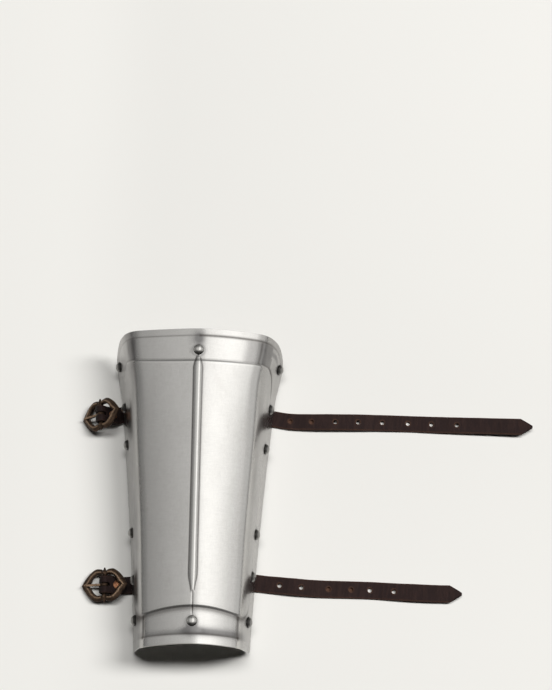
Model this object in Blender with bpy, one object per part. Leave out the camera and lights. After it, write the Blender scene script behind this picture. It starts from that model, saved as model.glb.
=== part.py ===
"""A steel vambrace, the plate that guards a forearm, lying on its straps.

The plate is a half shell with a ridge, open below. Two plain leather straps leave its right side,
and two short ones on its left side are folded round the bars of bronze buckles.
Metres, +Z up. The plate's axis runs along Y from the wrist to the elbow; +X is the strap side.
"""

import math

import bmesh
import bpy
import numpy as np
from mathutils import Matrix, Vector

MM = 0.001
GAP = 0.3 * MM  # clearance between pieces that touch

# Plate: stations are distances along the axis from the wrist rim.
PLATE_LENGTH = 237 * MM
STEEL = 1.2 * MM
WRIST_HALF_WIDTH = 43.2 * MM
FLARE_SLOPE = 0.055
FLARE_GROWTH = 0.163 / 1000 / MM  # how fast the half width's slope itself grows
WRIST_CROWN = 38.8 * MM
ELBOW_CROWN = 52.8 * MM
WRIST_BOW = 2.5 * MM  # the wrist rim's sides reach this much further than its crown
ELBOW_CORNER = 30 * MM
WRIST_CORNER = 5 * MM
WRIST_LIP = 9 * MM  # lengths of the flared lips at the two rims
ELBOW_LIP = 5 * MM
LIP_RISE = 2.2 * MM
LIP_FADES = (0.74, 0.90)  # shares of the half width between which the lips run out

# Slope of the cross section, from the ridge (0) to the lower edge (1) of one half.
SECTION = np.array(
    [  # share of the way, slope in degrees
        (0.00, 7),
        (0.10, 10),
        (0.42, 22),
        (0.54, 58),
        (0.64, 80),
        (0.80, 83),
        (1.00, 85),
    ]
)

# Raised work on the plate
PANEL_RISE = 1.3 * MM
PANEL_STEP = 2.4 * MM
PANEL_TOP = 24.5 * MM  # from the elbow rim
PANEL_FOOT = 28 * MM  # from the wrist rim, on the ridge
PANEL_FOOT_ARCH = 5.2 * MM
PANEL_FOOT_REACH = 0.76  # share of the half width at which the arch has dropped by its height
PANEL_FOOT_CORNER = 15 * MM
PANEL_TOP_BOW = 2.5 * MM
PANEL_CORNER = 22 * MM
BORDER = 19 * MM
RIB_RISE = 1.5 * MM
RIB_HALF_WIDTH = 3.2 * MM
RIB_START = 38 * MM
RIB_END = 217 * MM
RIB_TAPER = 6 * MM

# Stations from which the plate's grid begins to follow the panel's top, and its foot
MID_STATION = 120 * MM
FOOT_RUNS_OUT = 70 * MM

# Rivets
HEAD_RADIUS = 4 * MM
HEAD_HEIGHT = 3 * MM
SHANK_RADIUS = 1.7 * MM
BURR_RADIUS = 2.7 * MM
BURR_HEIGHT = 0.9 * MM
RIVET_STEPS = 10
SIDE_RIVET_RISE = 11 * MM  # up the wall from its lower edge
RIDGE_RIVETS = (("elbow", 221 * MM), ("wrist", 17.4 * MM))
SIDE_RIVETS = (  # name, station on the left, station on the right, kind
    ("elbow", 220.4 * MM, 219.2 * MM, "border"),
    ("strap_elbow", 186.6 * MM, 186.2 * MM, "strap"),
    ("upper", 156.8 * MM, 154.4 * MM, "border"),
    ("lower", 87.8 * MM, 87.3 * MM, "border"),
    ("strap_wrist", 52.0 * MM, 55.2 * MM, "strap"),
    ("wrist", 21.9 * MM, 21.2 * MM, "border"),
)

# Leather
LEATHER = 2.2 * MM
STRAP_WIDTH = 13 * MM
STRAP_REACH_UP = 19 * MM  # how far a strap's riveted end climbs inside the wall
HOLE_RADIUS = 1.5 * MM
POINT_LENGTH = 9 * MM
BEND_RADIUS = 2.1 * MM  # of a strap's middle, where it turns under the plate's edge
EDGE_HEIGHT = LEATHER / 2 + BEND_RADIUS + 0.15 * MM  # the plate's lower edge sits in the bends of its straps

LONG_STRAP = np.array(
    [  # distance out from the axis, station, lift off the floor (mm)
        (66, 181.1, 0.3),
        (72, 180.4, 0.9),
        (85, 180.0, 1.6),
        (100, 180.0, 0.9),
        (118, 180.1, 0.0),
        (140, 180.1, 0.0),
        (165, 179.7, 0.0),
        (182, 179.1, 0.4),
        (203, 178.5, 1.2),
        (225, 178.0, 0.7),
        (243, 177.5, 0.0),
        (259.5, 177.1, 0.0),
    ]
)
SHORT_STRAP = np.array(
    [  # distance out from the axis, station, lift off the floor (mm)
        (54, 52.0, 0.2),
        (62, 51.3, 0.8),
        (72, 50.4, 1.3),
        (86, 49.4, 0.6),
        (100, 48.9, 0.0),
        (118, 48.6, 0.0),
        (134, 48.2, 0.0),
        (150, 47.3, 0.8),
        (166, 46.6, 1.6),
        (182, 46.1, 0.8),
        (200.3, 45.9, 0.0),
    ]
)
LONG_HOLES = (70.3, 86.9, 105.5, 123.3, 142.4, 162.5, 180.8, 200.7)  # mm out from the axis
SHORT_HOLES = (63.0, 79.4, 99.9, 117.0, 131.1, 149.2)

# Buckles
FRAME_HALF_HEIGHT = 2 * MM
BAR_RADIUS = 1.5 * MM
FRAME_STEPS = 8  # along a quarter of the frame
FRAME_QUARTER = np.array(
    [  # outer edge x, y; inner edge x, y; height of the crest (mm), from the point to the waist
        (18.2, 0.0, 13.6, 0.0, 1.2),
        (15.3, 4.6, 11.2, 2.3, 1.8),
        (11.4, 9.2, 9.6, 5.5, 2.0),
        (7.0, 12.1, 6.2, 8.8, 2.0),
        (2.6, 11.9, 2.4, 9.2, 2.0),
        (0.0, 11.4, 0.0, 8.0, 2.0),
    ]
)
PRONG_LENGTH = 15.4 * MM
PRONG_WIDTH = 2.2 * MM
PRONG_RING = 3.0 * MM
SLOT_HALF_WIDTH = 1.5 * MM
FOLD_LENGTH = 13 * MM  # from the bar to the end of the turned leather
FOLD_CLOSES = 6.5 * MM
FOLD_RIVET = 9.6 * MM
BUCKLES = {  # bar centre (mm): out, station, height; heading, dip, roll (degrees); strap's station, its lean
    "elbow": ((-77.4, 182.0, 11.7), 189.5, 34.0, 7.0, 186.6 * MM, -2.0 * MM),
    "wrist": ((-68.6, 49.6, 6.5), 181.5, 14.5, 0.0, 52.0 * MM, -1.5 * MM),
}
LINK_STEPS = 4  # along a strap, between the bend under the plate's edge and its next stretch


def material(name, colour, metallic, roughness):
    made = bpy.data.materials.new(name)
    made.use_nodes = True
    shader = made.node_tree.nodes["Principled BSDF"]
    shader.inputs["Base Color"].default_value = (*colour, 1)
    shader.inputs["Metallic"].default_value = metallic
    shader.inputs["Roughness"].default_value = roughness
    return made


def new_object(name, points, faces, finish, sharp_degrees=35):
    """An object from points and faces, shaded smooth except across sharp edges."""
    mesh = bpy.data.meshes.new(name)
    mesh.from_pydata([tuple(map(float, p)) for p in points], [], faces)
    mesh.validate()
    mesh.shade_smooth()
    mesh.set_sharp_from_angle(angle=math.radians(sharp_degrees))
    mesh.materials.append(finish)
    made = bpy.data.objects.new(name, mesh)
    bpy.context.scene.collection.objects.link(made)
    return made


def combine(target, tool, operation):
    """Joins the tool to the target, or cuts it out of it, and hides the tool from the model."""
    step = target.modifiers.new(operation.title(), "BOOLEAN")
    step.operation = operation
    step.solver = "EXACT"
    step.object = tool
    tool.hide_render = True
    tool.display_type = "WIRE"
    tool.parent = target.parent


def smoothstep(x):
    x = np.clip(x, 0, 1)
    return x * x * (3 - 2 * x)


def through_points(rows, count):
    """A smooth curve through the rows, as count evenly spread rows (Catmull-Rom)."""
    rows = np.asarray(rows, float)
    padded = np.vstack([2 * rows[0] - rows[1], rows, 2 * rows[-1] - rows[-2]])
    place = np.linspace(0, len(rows) - 1 - 1e-9, count)
    i = place.astype(int)
    f = (place - i)[:, None]
    a, b, c, d = (padded[i + k] for k in range(4))
    return 0.5 * (2 * b + (c - a) * f + (2 * a - 5 * b + 4 * c - d) * f**2 + (3 * b - a - 3 * c + d) * f**3)


def eased(x, knots, values):
    """Values between knots, level at each knot, so that a flat stretch stays exactly flat."""
    i = np.clip(np.searchsorted(knots, x, side="right") - 1, 0, len(knots) - 2)
    f = smoothstep((x - knots[i]) / (knots[i + 1] - knots[i]))
    return values[i] + (values[i + 1] - values[i]) * f


# ---------------------------------------------------------------- the plate's surface
SHARE = np.linspace(0, 1, 201)
SLOPE = np.radians(np.interp(SHARE, SECTION[:, 0], SECTION[:, 1]))
OUT = np.concatenate([[0], np.cumsum((np.cos(SLOPE[1:]) + np.cos(SLOPE[:-1])) / 2)])
DROP = np.concatenate([[0], np.cumsum((np.sin(SLOPE[1:]) + np.sin(SLOPE[:-1])) / 2)])
OUT /= OUT.max()
DROP /= DROP[-1]


def half_width(station):
    return WRIST_HALF_WIDTH + FLARE_SLOPE * station + FLARE_GROWTH * station**2


def crown(station):
    return WRIST_CROWN + (ELBOW_CROWN - WRIST_CROWN) * station / PLATE_LENGTH


def half_girth(station):
    """Length of the outer surface from the ridge to the lower edge."""
    out = np.diff(OUT) * half_width(station)
    drop = np.diff(DROP) * crown(station)
    return float(np.hypot(out, drop).sum())


def bare_point(station, share):
    """The surface before it is worked, at a signed share of the way from the ridge to an edge."""
    away = np.abs(share)
    x = np.sign(share) * half_width(station) * np.interp(away, SHARE, OUT)
    z = EDGE_HEIGHT + crown(station) * (1 - np.interp(away, SHARE, DROP))
    return np.stack([x, station - PLATE_LENGTH / 2 + 0 * x, z], -1)


def bare_normal(station, share):
    step = 0.012
    across = bare_point(station, share + step) - bare_point(station, share - step)
    along = bare_point(station + step * MM, share) - bare_point(station - step * MM, share)
    normal = np.cross(across, along)
    return normal / np.linalg.norm(normal, axis=-1, keepdims=True)


def corner_cut(inward, radius):
    """How far a rounded corner stands back from the rim, by the distance in from the side edge."""
    left = np.clip(radius - inward, 0, radius)
    return radius - np.sqrt(radius**2 - left**2)


def rim_lines(share, girth):
    """Stations of the wrist rim, the panel's foot, the panel's top and the elbow rim."""
    inward = (1 - np.abs(share)) * girth
    out = np.interp(np.abs(share), SHARE, OUT)
    wrist = -WRIST_BOW * out**2 + corner_cut(inward, WRIST_CORNER)
    elbow = PLATE_LENGTH - corner_cut(inward, ELBOW_CORNER)
    foot = PANEL_FOOT - PANEL_FOOT_ARCH * (out / PANEL_FOOT_REACH) ** 2 + corner_cut(inward - BORDER, PANEL_FOOT_CORNER)
    top = PLATE_LENGTH - PANEL_TOP + PANEL_TOP_BOW * out**2 - corner_cut(inward - BORDER, PANEL_CORNER)
    return wrist, foot, top, elbow


def relief(station, share, girth):
    """Height of the raised panel, the rib and the flared lips above the bare surface."""
    wrist, foot, top, elbow = rim_lines(share, girth)
    inward = (1 - np.abs(share)) * girth
    out = np.interp(np.abs(share), SHARE, OUT)
    half = PANEL_STEP / 2
    lengthways = smoothstep((station - foot + half) / PANEL_STEP) * smoothstep((top + half - station) / PANEL_STEP)
    panel = PANEL_RISE * lengthways * smoothstep((inward - BORDER + half) / PANEL_STEP)
    ends = smoothstep((station - RIB_START) / RIB_TAPER) * smoothstep((RIB_END - station) / RIB_TAPER)
    aside = np.abs(share) * girth / RIB_HALF_WIDTH
    rib = RIB_RISE * ends * np.clip(1 - aside**2, 0, 1)
    on_face = 1 - smoothstep((out - LIP_FADES[0]) / (LIP_FADES[1] - LIP_FADES[0]))
    near_rim = np.maximum(1 - (station - wrist) / WRIST_LIP, 1 - (elbow - station) / ELBOW_LIP)
    lip = LIP_RISE * on_face * np.clip(near_rim, 0, 1) ** 1.3
    return panel + rib + lip


def plate_point(station, share, below=0.0, worked=True):
    """A point of the plate's outer surface, or one that lies below it along its normal."""
    station, share = np.broadcast_arrays(np.asarray(station, float), np.asarray(share, float))
    girth = half_girth(float(station.mean()))
    lift = relief(station, share, girth) if worked else 0.0
    return bare_point(station, share) + bare_normal(station, share) * (np.asarray(lift) - below)[..., None]


def plate_rows_and_columns():
    """Stations and shares of the plate's grid, whose lines follow the rims, the panel and the rib."""
    near_wrist = [0, 3, 6, 9, 12, 17, 24]
    mid = np.concatenate([[37, 39.5, 42, 45], np.linspace(60, 190, 7), [203]])
    near_elbow = [-22, -16, -11, -5, -3.3, -1.7, 0]
    by_ridge = RIB_HALF_WIDTH * np.array([0, 0.35, 0.7, 1])
    by_edge = np.array([BORDER + PANEL_STEP / 2, BORDER - PANEL_STEP / 2, 13.5 * MM, 7 * MM, 0])
    between = np.array([0.18, 0.38, 0.50, 0.58, 0.66, 0.74, 0.85])
    rows = []
    for kind, stations in (("wrist", near_wrist), ("foot", (0, 1)), ("mid", mid), ("top", (0, 1)), ("elbow", near_elbow)):
        for value in stations:
            rows.append((kind, value))
    grid = []
    for kind, value in rows:
        starts = {"foot": PANEL_FOOT, "top": PLATE_LENGTH - PANEL_TOP, "elbow": PLATE_LENGTH + value * MM}
        nominal = starts.get(kind, value * MM)
        girth = half_girth(nominal)
        share_near, share_edge = by_ridge / girth, 1 - by_edge / girth
        share_between = share_near[-1] + (share_edge[0] - share_near[-1]) * between
        half = np.concatenate([share_near, share_between, share_edge])
        share = np.concatenate([-half[:0:-1], half])
        wrist, foot, top, elbow = rim_lines(share, girth)
        if kind == "wrist":
            station = wrist + (foot - PANEL_STEP / 2 - wrist) * value / (PANEL_FOOT - PANEL_STEP / 2) * MM
        elif kind == "foot":
            station = foot + (value - 0.5) * PANEL_STEP
        elif kind == "mid":
            reach = smoothstep((nominal - MID_STATION) / (PLATE_LENGTH - PANEL_TOP - MID_STATION))
            low = smoothstep((FOOT_RUNS_OUT - nominal) / (FOOT_RUNS_OUT - PANEL_FOOT))
            station = nominal + (top - top.max()) * reach + (foot - PANEL_FOOT) * low
        elif kind == "top":
            station = top + (value - 0.5) * PANEL_STEP
        else:
            station = elbow + (elbow - top - PANEL_STEP / 2) * value / (PANEL_TOP / MM - PANEL_STEP / 2 / MM)
        grid.append((station, share))
    return grid


def make_plate(steel):
    grid = plate_rows_and_columns()
    outer = np.array([plate_point(station, share) for station, share in grid])
    inner = np.array([plate_point(station, share, STEEL) for station, share in grid])
    rows, columns = outer.shape[:2]
    points = np.concatenate([outer.reshape(-1, 3), inner.reshape(-1, 3)])
    under = rows * columns

    def at(row, column, side):
        return row * columns + column + side * under

    faces = []
    for r in range(rows - 1):
        for c in range(columns - 1):
            quad = [at(r, c, 0), at(r, c + 1, 0), at(r + 1, c + 1, 0), at(r + 1, c, 0)]
            faces.append(quad)
            faces.append([v + under for v in quad[::-1]])
        for c, turn in ((0, 1), (columns - 1, -1)):
            faces.append([at(r, c, 0), at(r + 1, c, 0), at(r + 1, c, 1), at(r, c, 1)][::turn])
    for r, turn in ((0, 1), (rows - 1, -1)):
        for c in range(columns - 1):
            faces.append([at(r, c, 0), at(r, c, 1), at(r, c + 1, 1), at(r, c + 1, 0)][::turn])
    return new_object("vambrace_plate", points, faces, steel, 25)


# ---------------------------------------------------------------- turned pieces
def turned(name, profile, steps, finish):
    """A solid turned about Z from (radius, height) rows that run from the top to the bottom."""
    angles = np.arange(steps) * 2 * math.pi / steps
    ring = np.stack([np.cos(angles), np.sin(angles)], -1)
    points, faces = [(0, 0, profile[0][1])], []
    for radius, height in profile[1:-1]:
        points += [(*(radius * p), height) for p in ring]
    points.append((0, 0, profile[-1][1]))
    last = len(points) - 1
    for k in range(steps):
        n = (k + 1) % steps
        faces.append([0, 1 + k, 1 + n])
        for level in range(len(profile) - 3):
            a = 1 + level * steps
            faces.append([a + k, a + steps + k, a + steps + n, a + n])
        faces.append([last, last - steps + n, last - steps + k])
    return new_object(name, points, faces, finish, 50)


def aim(made, place, direction, around=(0, 1, 0)):
    """Puts an object at a place with its own Z along a direction."""
    z = Vector(direction).normalized()
    x = Vector(around).cross(z).normalized()
    y = z.cross(x)
    turn = Matrix((x, y, z)).transposed().to_4x4()
    made.matrix_world = Matrix.Translation(Vector(place)) @ turn


def rivet_profile(grip):
    """A domed rivet whose head sits on z = 0 and whose burr closes below the grip."""
    under = -grip - GAP
    return [
        (0, HEAD_HEIGHT),
        (0.50 * HEAD_RADIUS, 0.90 * HEAD_HEIGHT),
        (0.85 * HEAD_RADIUS, 0.56 * HEAD_HEIGHT),
        (HEAD_RADIUS, GAP + 0.05 * MM),
        (SHANK_RADIUS, GAP + 0.05 * MM),
        (SHANK_RADIUS, under),
        (BURR_RADIUS, under),
        (0.9 * BURR_RADIUS, under - BURR_HEIGHT),
        (0, under - BURR_HEIGHT),
    ]


def drill(places, radius, depth, name):
    """One cutter of round pins, each through a place and along a direction."""
    shape = bmesh.new()
    for place, direction in places:
        turn = Vector((0, 0, 1)).rotation_difference(Vector(direction)).to_matrix().to_4x4()
        where = Matrix.Translation(Vector(place)) @ turn
        bmesh.ops.create_cone(
            shape, cap_ends=True, segments=RIVET_STEPS, radius1=radius, radius2=radius, depth=depth, matrix=where
        )
    mesh = bpy.data.meshes.new(name)
    shape.to_mesh(mesh)
    shape.free()
    made = bpy.data.objects.new(name, mesh)
    bpy.context.scene.collection.objects.link(made)
    return made


# ---------------------------------------------------------------- leather
def strip(name, centres, sides, finish, width=STRAP_WIDTH, point_at=None):
    """A flat strip of leather along its centre line, with the direction of its width at each station.

    It narrows to a point over its last stretch if point_at gives where the point starts.
    """
    centres, sides = np.asarray(centres, float), np.asarray(sides, float)
    steps = np.diff(centres, axis=0)
    steps /= np.linalg.norm(steps, axis=1, keepdims=True)
    along = np.vstack([steps[:1], steps[1:] + steps[:-1], steps[-1:]])
    along /= np.linalg.norm(along, axis=1, keepdims=True)
    sides = sides - along * (sides * along).sum(1, keepdims=True)
    sides /= np.linalg.norm(sides, axis=1, keepdims=True)
    normals = np.cross(along, sides)
    travelled = np.concatenate([[0], np.cumsum(np.linalg.norm(np.diff(centres, axis=0), axis=1))])
    half = np.full(len(centres), width / 2)
    if point_at is not None:
        left = np.clip((travelled[-1] - travelled) / point_at, 0, 1)
        half *= 0.12 + 0.88 * left**0.85
    points = []
    for centre, side, normal, reach in zip(centres, sides, normals, half):
        for u, v in ((-1, -1), (1, -1), (1, 1), (-1, 1)):
            points.append(centre + side * reach * u + normal * LEATHER / 2 * v)
    faces = [[3, 2, 1, 0]]
    for i in range(len(centres) - 1):
        a = 4 * i
        faces += [[a + k, a + (k + 1) % 4, a + 4 + (k + 1) % 4, a + 4 + k] for k in range(4)]
    faces.append([len(points) - 4 + k for k in range(4)])
    return new_object(name, points, faces, finish, 40)


def down_the_wall(station, side, lean, rise):
    """Centre line of leather inside the wall, from its top end down and round under the plate's edge.

    It leans along the plate on its way down, and leaves the bend rising by an angle in radians.
    """
    below = STEEL + GAP + LEATHER / 2
    wall = []
    for share in (1, 0.68, 0.36, 0.15):
        at = station + lean * (1 - share)
        up = share * STRAP_REACH_UP / half_girth(at)
        wall.append(plate_point(at, side * (1 - up), below, False))
    outward = np.cross(wall_side(station + lean, side), (0, 0, side))
    middle = plate_point(station + lean, side, STEEL, False) + outward * (BEND_RADIUS - GAP - LEATHER / 2)
    middle[2] = EDGE_HEIGHT
    tuck = math.radians(SECTION[-1, 1] - 90)
    around = []
    for turn in np.linspace(-tuck, math.pi / 2 + rise, 5):
        around.append(middle - BEND_RADIUS * (outward * math.cos(turn) + np.array([0, 0, math.sin(turn)])))
    return np.vstack([wall, around])


def wall_side(station, side):
    """Direction of a strap's width where it lies on the wall."""
    ahead = bare_point(np.float64(station + MM), np.float64(side))
    behind = bare_point(np.float64(station - MM), np.float64(side))
    level = (ahead - behind) * (1, 1, 0)
    return level / np.linalg.norm(level)


def led_across(start, rest, start_side, rest_sides):
    """Two stretches of a strap joined by a smooth link, with the direction of the width turned on the way."""
    leave = 3 * start[-1] - 4 * start[-2] + start[-3]  # the tangent of a parabola through the last three
    arrive = rest[1] - rest[0]
    reach = np.linalg.norm(rest[0] - start[-1])
    leave, arrive = leave / np.linalg.norm(leave) * reach, arrive / np.linalg.norm(arrive) * reach
    f = np.linspace(0, 1, LINK_STEPS + 2)[1:-1, None]
    link = start[-1] * (2 * f**3 - 3 * f**2 + 1) + rest[0] * (3 * f**2 - 2 * f**3)
    link += leave * (f**3 - 2 * f**2 + f) + arrive * (f**3 - f**2)
    turned = start_side * (1 - smoothstep(f)) + rest_sides[0] * smoothstep(f)
    centres = np.vstack([start, link, rest])
    return centres, np.vstack([np.tile(start_side, (len(start), 1)), turned, rest_sides])


def free_strap(name, station, rows, holes, finish):
    """A plain strap: down inside the right wall, under its edge and out along the floor."""
    lean = 0.35 * (rows[0][1] * MM - station)
    top = station + lean  # the rivet sits off the strap's centre line
    start = through_points(down_the_wall(top, 1, lean, 0.0), 14)
    floor = np.stack([rows[:, 0], rows[:, 1] - PLATE_LENGTH / 2 / MM, rows[:, 2] + LEATHER / 2 / MM], -1) * MM
    far = through_points(floor, 2 * len(floor) + 2)
    far[:, 2] = eased(far[:, 0], floor[:, 0], floor[:, 2])
    plan = np.gradient(far, axis=0)
    across = np.stack([-plan[:, 1], plan[:, 0], 0 * plan[:, 0]], -1)
    across /= np.linalg.norm(across, axis=1, keepdims=True)
    centres, sides = led_across(start, far, wall_side(top, 1), across)
    made = strip(name, centres, sides, finish, point_at=POINT_LENGTH)
    places = []
    for out in holes:
        at = np.array([np.interp(out * MM, far[:, 0], far[:, k]) for k in range(3)])
        places.append((at, (0, 0, 1)))
    combine(made, drill(places, HOLE_RADIUS, 8 * MM, name + "_holes"), "DIFFERENCE")
    return made


def buckle_axes(key):
    """Place and axes of a buckle: x outward along the frame, y along the bar, z up from its face."""
    (out, station, height), heading, dip, roll, _, _ = BUCKLES[key]
    place = Vector((out * MM, station * MM - PLATE_LENGTH / 2, height * MM))
    turn = (
        Matrix.Rotation(math.radians(heading), 4, "Z")
        @ Matrix.Rotation(math.radians(dip), 4, "Y")
        @ Matrix.Rotation(math.radians(roll), 4, "X")
    )
    return Matrix.Translation(place) @ turn


def buckle_wall(key, rise=0.0):
    station, lean = BUCKLES[key][4:]
    return down_the_wall(station, -1, lean, rise)


def fold_axes(key):
    """Axes of the leather fold: x from the bar to the plate's edge, y along the bar, z up."""
    at = buckle_axes(key)
    bar, centre = at.to_3x3().col[1], at.translation
    toward = Vector(buckle_wall(key)[-1]) - centre
    toward = (toward - bar * toward.dot(bar)).normalized()
    up = toward.cross(-bar if toward.cross(-bar).z > 0 else bar)
    return Matrix.Translation(centre) @ Matrix((toward, up.cross(toward), up)).transposed().to_4x4()


def buckle_strap(key, finish):
    """A short strap: down inside the left wall, out to the bar, round it and back onto itself."""
    fold = fold_axes(key)
    middle = BAR_RADIUS + GAP + LEATHER / 2
    apart = (LEATHER + GAP) / 2
    turns = np.radians(np.linspace(-80, -280, 11))
    loop = [(middle * math.cos(t), middle * math.sin(t)) for t in turns]
    lower = [(FOLD_RIVET + 2 * MM, -apart), (FOLD_RIVET - 1 * MM, -apart), (FOLD_CLOSES, -apart)]
    lower += [(FOLD_CLOSES * 0.5, -(apart + middle) / 2)]
    upper = [(FOLD_CLOSES * 0.5, (apart + middle) / 2), (FOLD_CLOSES, apart)]
    upper += [(FOLD_RIVET, apart), (FOLD_LENGTH, apart)]
    in_fold = [fold @ Vector((x, 0, z)) for x, z in lower + loop + upper]
    rest = through_points(in_fold, len(in_fold) + 9)
    start = through_points(buckle_wall(key, math.asin(-fold.to_3x3().col[0].z)), 14)
    bar = np.array(fold.to_3x3().col[1])
    wall = wall_side(BUCKLES[key][4], -1)
    bar *= np.sign(bar @ wall)
    centres, sides = led_across(start, rest, wall, np.tile(bar, (len(rest), 1)))
    made = strip("buckle_strap_" + key, centres, sides, finish)
    slot = bmesh.new()
    size = Vector((13 * MM, 2 * SLOT_HALF_WIDTH, 14 * MM))
    bmesh.ops.create_cube(slot, size=1)
    mesh = bpy.data.meshes.new("slot_" + key)
    slot.to_mesh(mesh)
    slot.free()
    mesh.transform(Matrix.Translation((FOLD_CLOSES - 1.5 * MM - size.x / 2, 0, 0)) @ Matrix.Diagonal((*size, 1)))
    cutter = bpy.data.objects.new("slot_" + key, mesh)
    bpy.context.scene.collection.objects.link(cutter)
    cutter.matrix_world = fold
    combine(made, cutter, "DIFFERENCE")
    where = fold @ Vector((FOLD_RIVET, 0, 0))
    holes = drill([(where, fold.to_3x3().col[2])], 1.5 * MM, 12 * MM, "fold_hole_" + key)
    combine(made, holes, "DIFFERENCE")
    return made


# ---------------------------------------------------------------- buckles
def frame_rings():
    """Outer and inner edges and crest heights all round a double loop frame."""
    quarter = through_points(FRAME_QUARTER * MM, FRAME_STEPS + 1)
    quarter[0, [1, 3]] = 0
    quarter[-1, [0, 2]] = 0
    mirror_y = quarter[-2::-1] * np.array([-1, 1, -1, 1, 1])
    half = np.vstack([quarter, mirror_y])
    other = half[-2:0:-1] * np.array([1, -1, 1, -1, 1])
    return np.vstack([half, other])


def buckle_frame(key, bronze):
    """A cast frame: a bevelled ring of two lobes, a round centre bar and a small knop at each waist."""
    ring = frame_rings()
    outer, inner, crest = ring[:, :2], ring[:, 2:4], ring[:, 4]
    low = np.full(len(ring), -FRAME_HALF_HEIGHT)
    middle = inner + (outer - inner) * 0.36
    sections = (  # plan line, height
        (outer - (outer - inner) * 0.1, low),
        (outer, low + 1.1 * MM),
        (outer, 0 * crest + 0.1 * MM),
        (middle, crest),
        (inner, crest - 0.7 * MM),
        (inner, low),
    )
    points = np.concatenate([np.column_stack([plan, height]) for plan, height in sections])
    count, rows = len(ring), len(sections)
    faces = []
    for s in range(rows):
        n = (s + 1) % rows
        for k in range(count):
            j = (k + 1) % count
            faces.append([s * count + k, s * count + j, n * count + j, n * count + k])
    made = new_object("buckle_frame_" + key, points, faces, bronze, 40)
    made.matrix_world = buckle_axes(key)
    waist = FRAME_QUARTER[-1, 1] * MM
    profile = [
        (0, waist + 1.9 * MM),
        (0.7 * MM, waist + 0.9 * MM),
        (1.25 * MM, waist - 0.4 * MM),
        (BAR_RADIUS * 1.5, waist - 1.7 * MM),
        (BAR_RADIUS * 1.45, waist - 2.9 * MM),
        (BAR_RADIUS, waist - 4.4 * MM),
    ]
    profile += [(radius, -height) for radius, height in profile[::-1]]
    bar = turned("bar_" + key, profile, RIVET_STEPS, bronze)
    bar.data.transform(Matrix.Rotation(math.radians(-90), 4, "X"))
    bar.matrix_world = made.matrix_world
    combine(made, bar, "UNION")
    return made


def buckle_prong(key, bronze):
    """A prong: a ring round the bar and a tapered shank that rests on the frame's outer point."""
    inside, outside, half = BAR_RADIUS + GAP, PRONG_RING, PRONG_WIDTH / 2
    steps = 12
    angles = np.arange(steps) * 2 * math.pi / steps
    points, faces = [], []
    for radius, y in ((inside, -half), (outside, -half), (outside, half), (inside, half)):
        points += [(radius * math.cos(a), y, radius * math.sin(a)) for a in angles]
    for s in range(4):
        n = (s + 1) % 4
        for k in range(steps):
            j = (k + 1) % steps
            faces.append([s * steps + j, s * steps + k, n * steps + k, n * steps + j])
    made = new_object("buckle_prong_" + key, points, faces, bronze, 40)
    made.matrix_world = buckle_axes(key)
    shank_rows = (  # distance out, half width, bottom, top (mm)
        (2.2, 1.10, -0.2, 1.9),
        (6.0, 1.05, 0.1, 2.0),
        (11.5, 0.95, 1.0, 2.6),
        (14.4, 0.80, 1.75, 2.9),
        (PRONG_LENGTH / MM, 0.40, 2.0, 2.6),
    )
    shank_points, shank_faces = [], [[0, 1, 2, 3]]
    for x, wide, bottom, top in shank_rows:
        for y, z in ((-wide, bottom), (wide, bottom), (wide, top), (-wide, top)):
            shank_points.append(Vector((x, y, z)) * MM)
    for i in range(len(shank_rows) - 1):
        a = 4 * i
        shank_faces += [[a + 4 + k, a + 4 + (k + 1) % 4, a + (k + 1) % 4, a + k] for k in range(4)]
    shank_faces.append([len(shank_points) - 1 - k for k in range(4)])
    shank = new_object("shank_" + key, shank_points, shank_faces, bronze)
    shank.matrix_world = made.matrix_world
    combine(made, shank, "UNION")
    return made


def fold_rivet(key, copper):
    """A copper rivet that closes the fold, with a low dome on top and a flat burr below."""
    top = LEATHER + GAP / 2
    profile = [
        (0, top + GAP + 0.9 * MM),
        (1.8 * MM, top + GAP + 0.7 * MM),
        (3.0 * MM, top + GAP + 0.3 * MM),
        (3.3 * MM, top + GAP),
        (1.2 * MM, top + GAP),
        (1.2 * MM, -top - GAP),
        (2.4 * MM, -top - GAP),
        (2.4 * MM, -top - GAP - 0.5 * MM),
        (0, -top - GAP - 0.5 * MM),
    ]
    made = turned("fold_rivet_" + key, profile, RIVET_STEPS, copper)
    made.matrix_world = fold_axes(key) @ Matrix.Translation((FOLD_RIVET, 0, 0))
    return made


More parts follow.
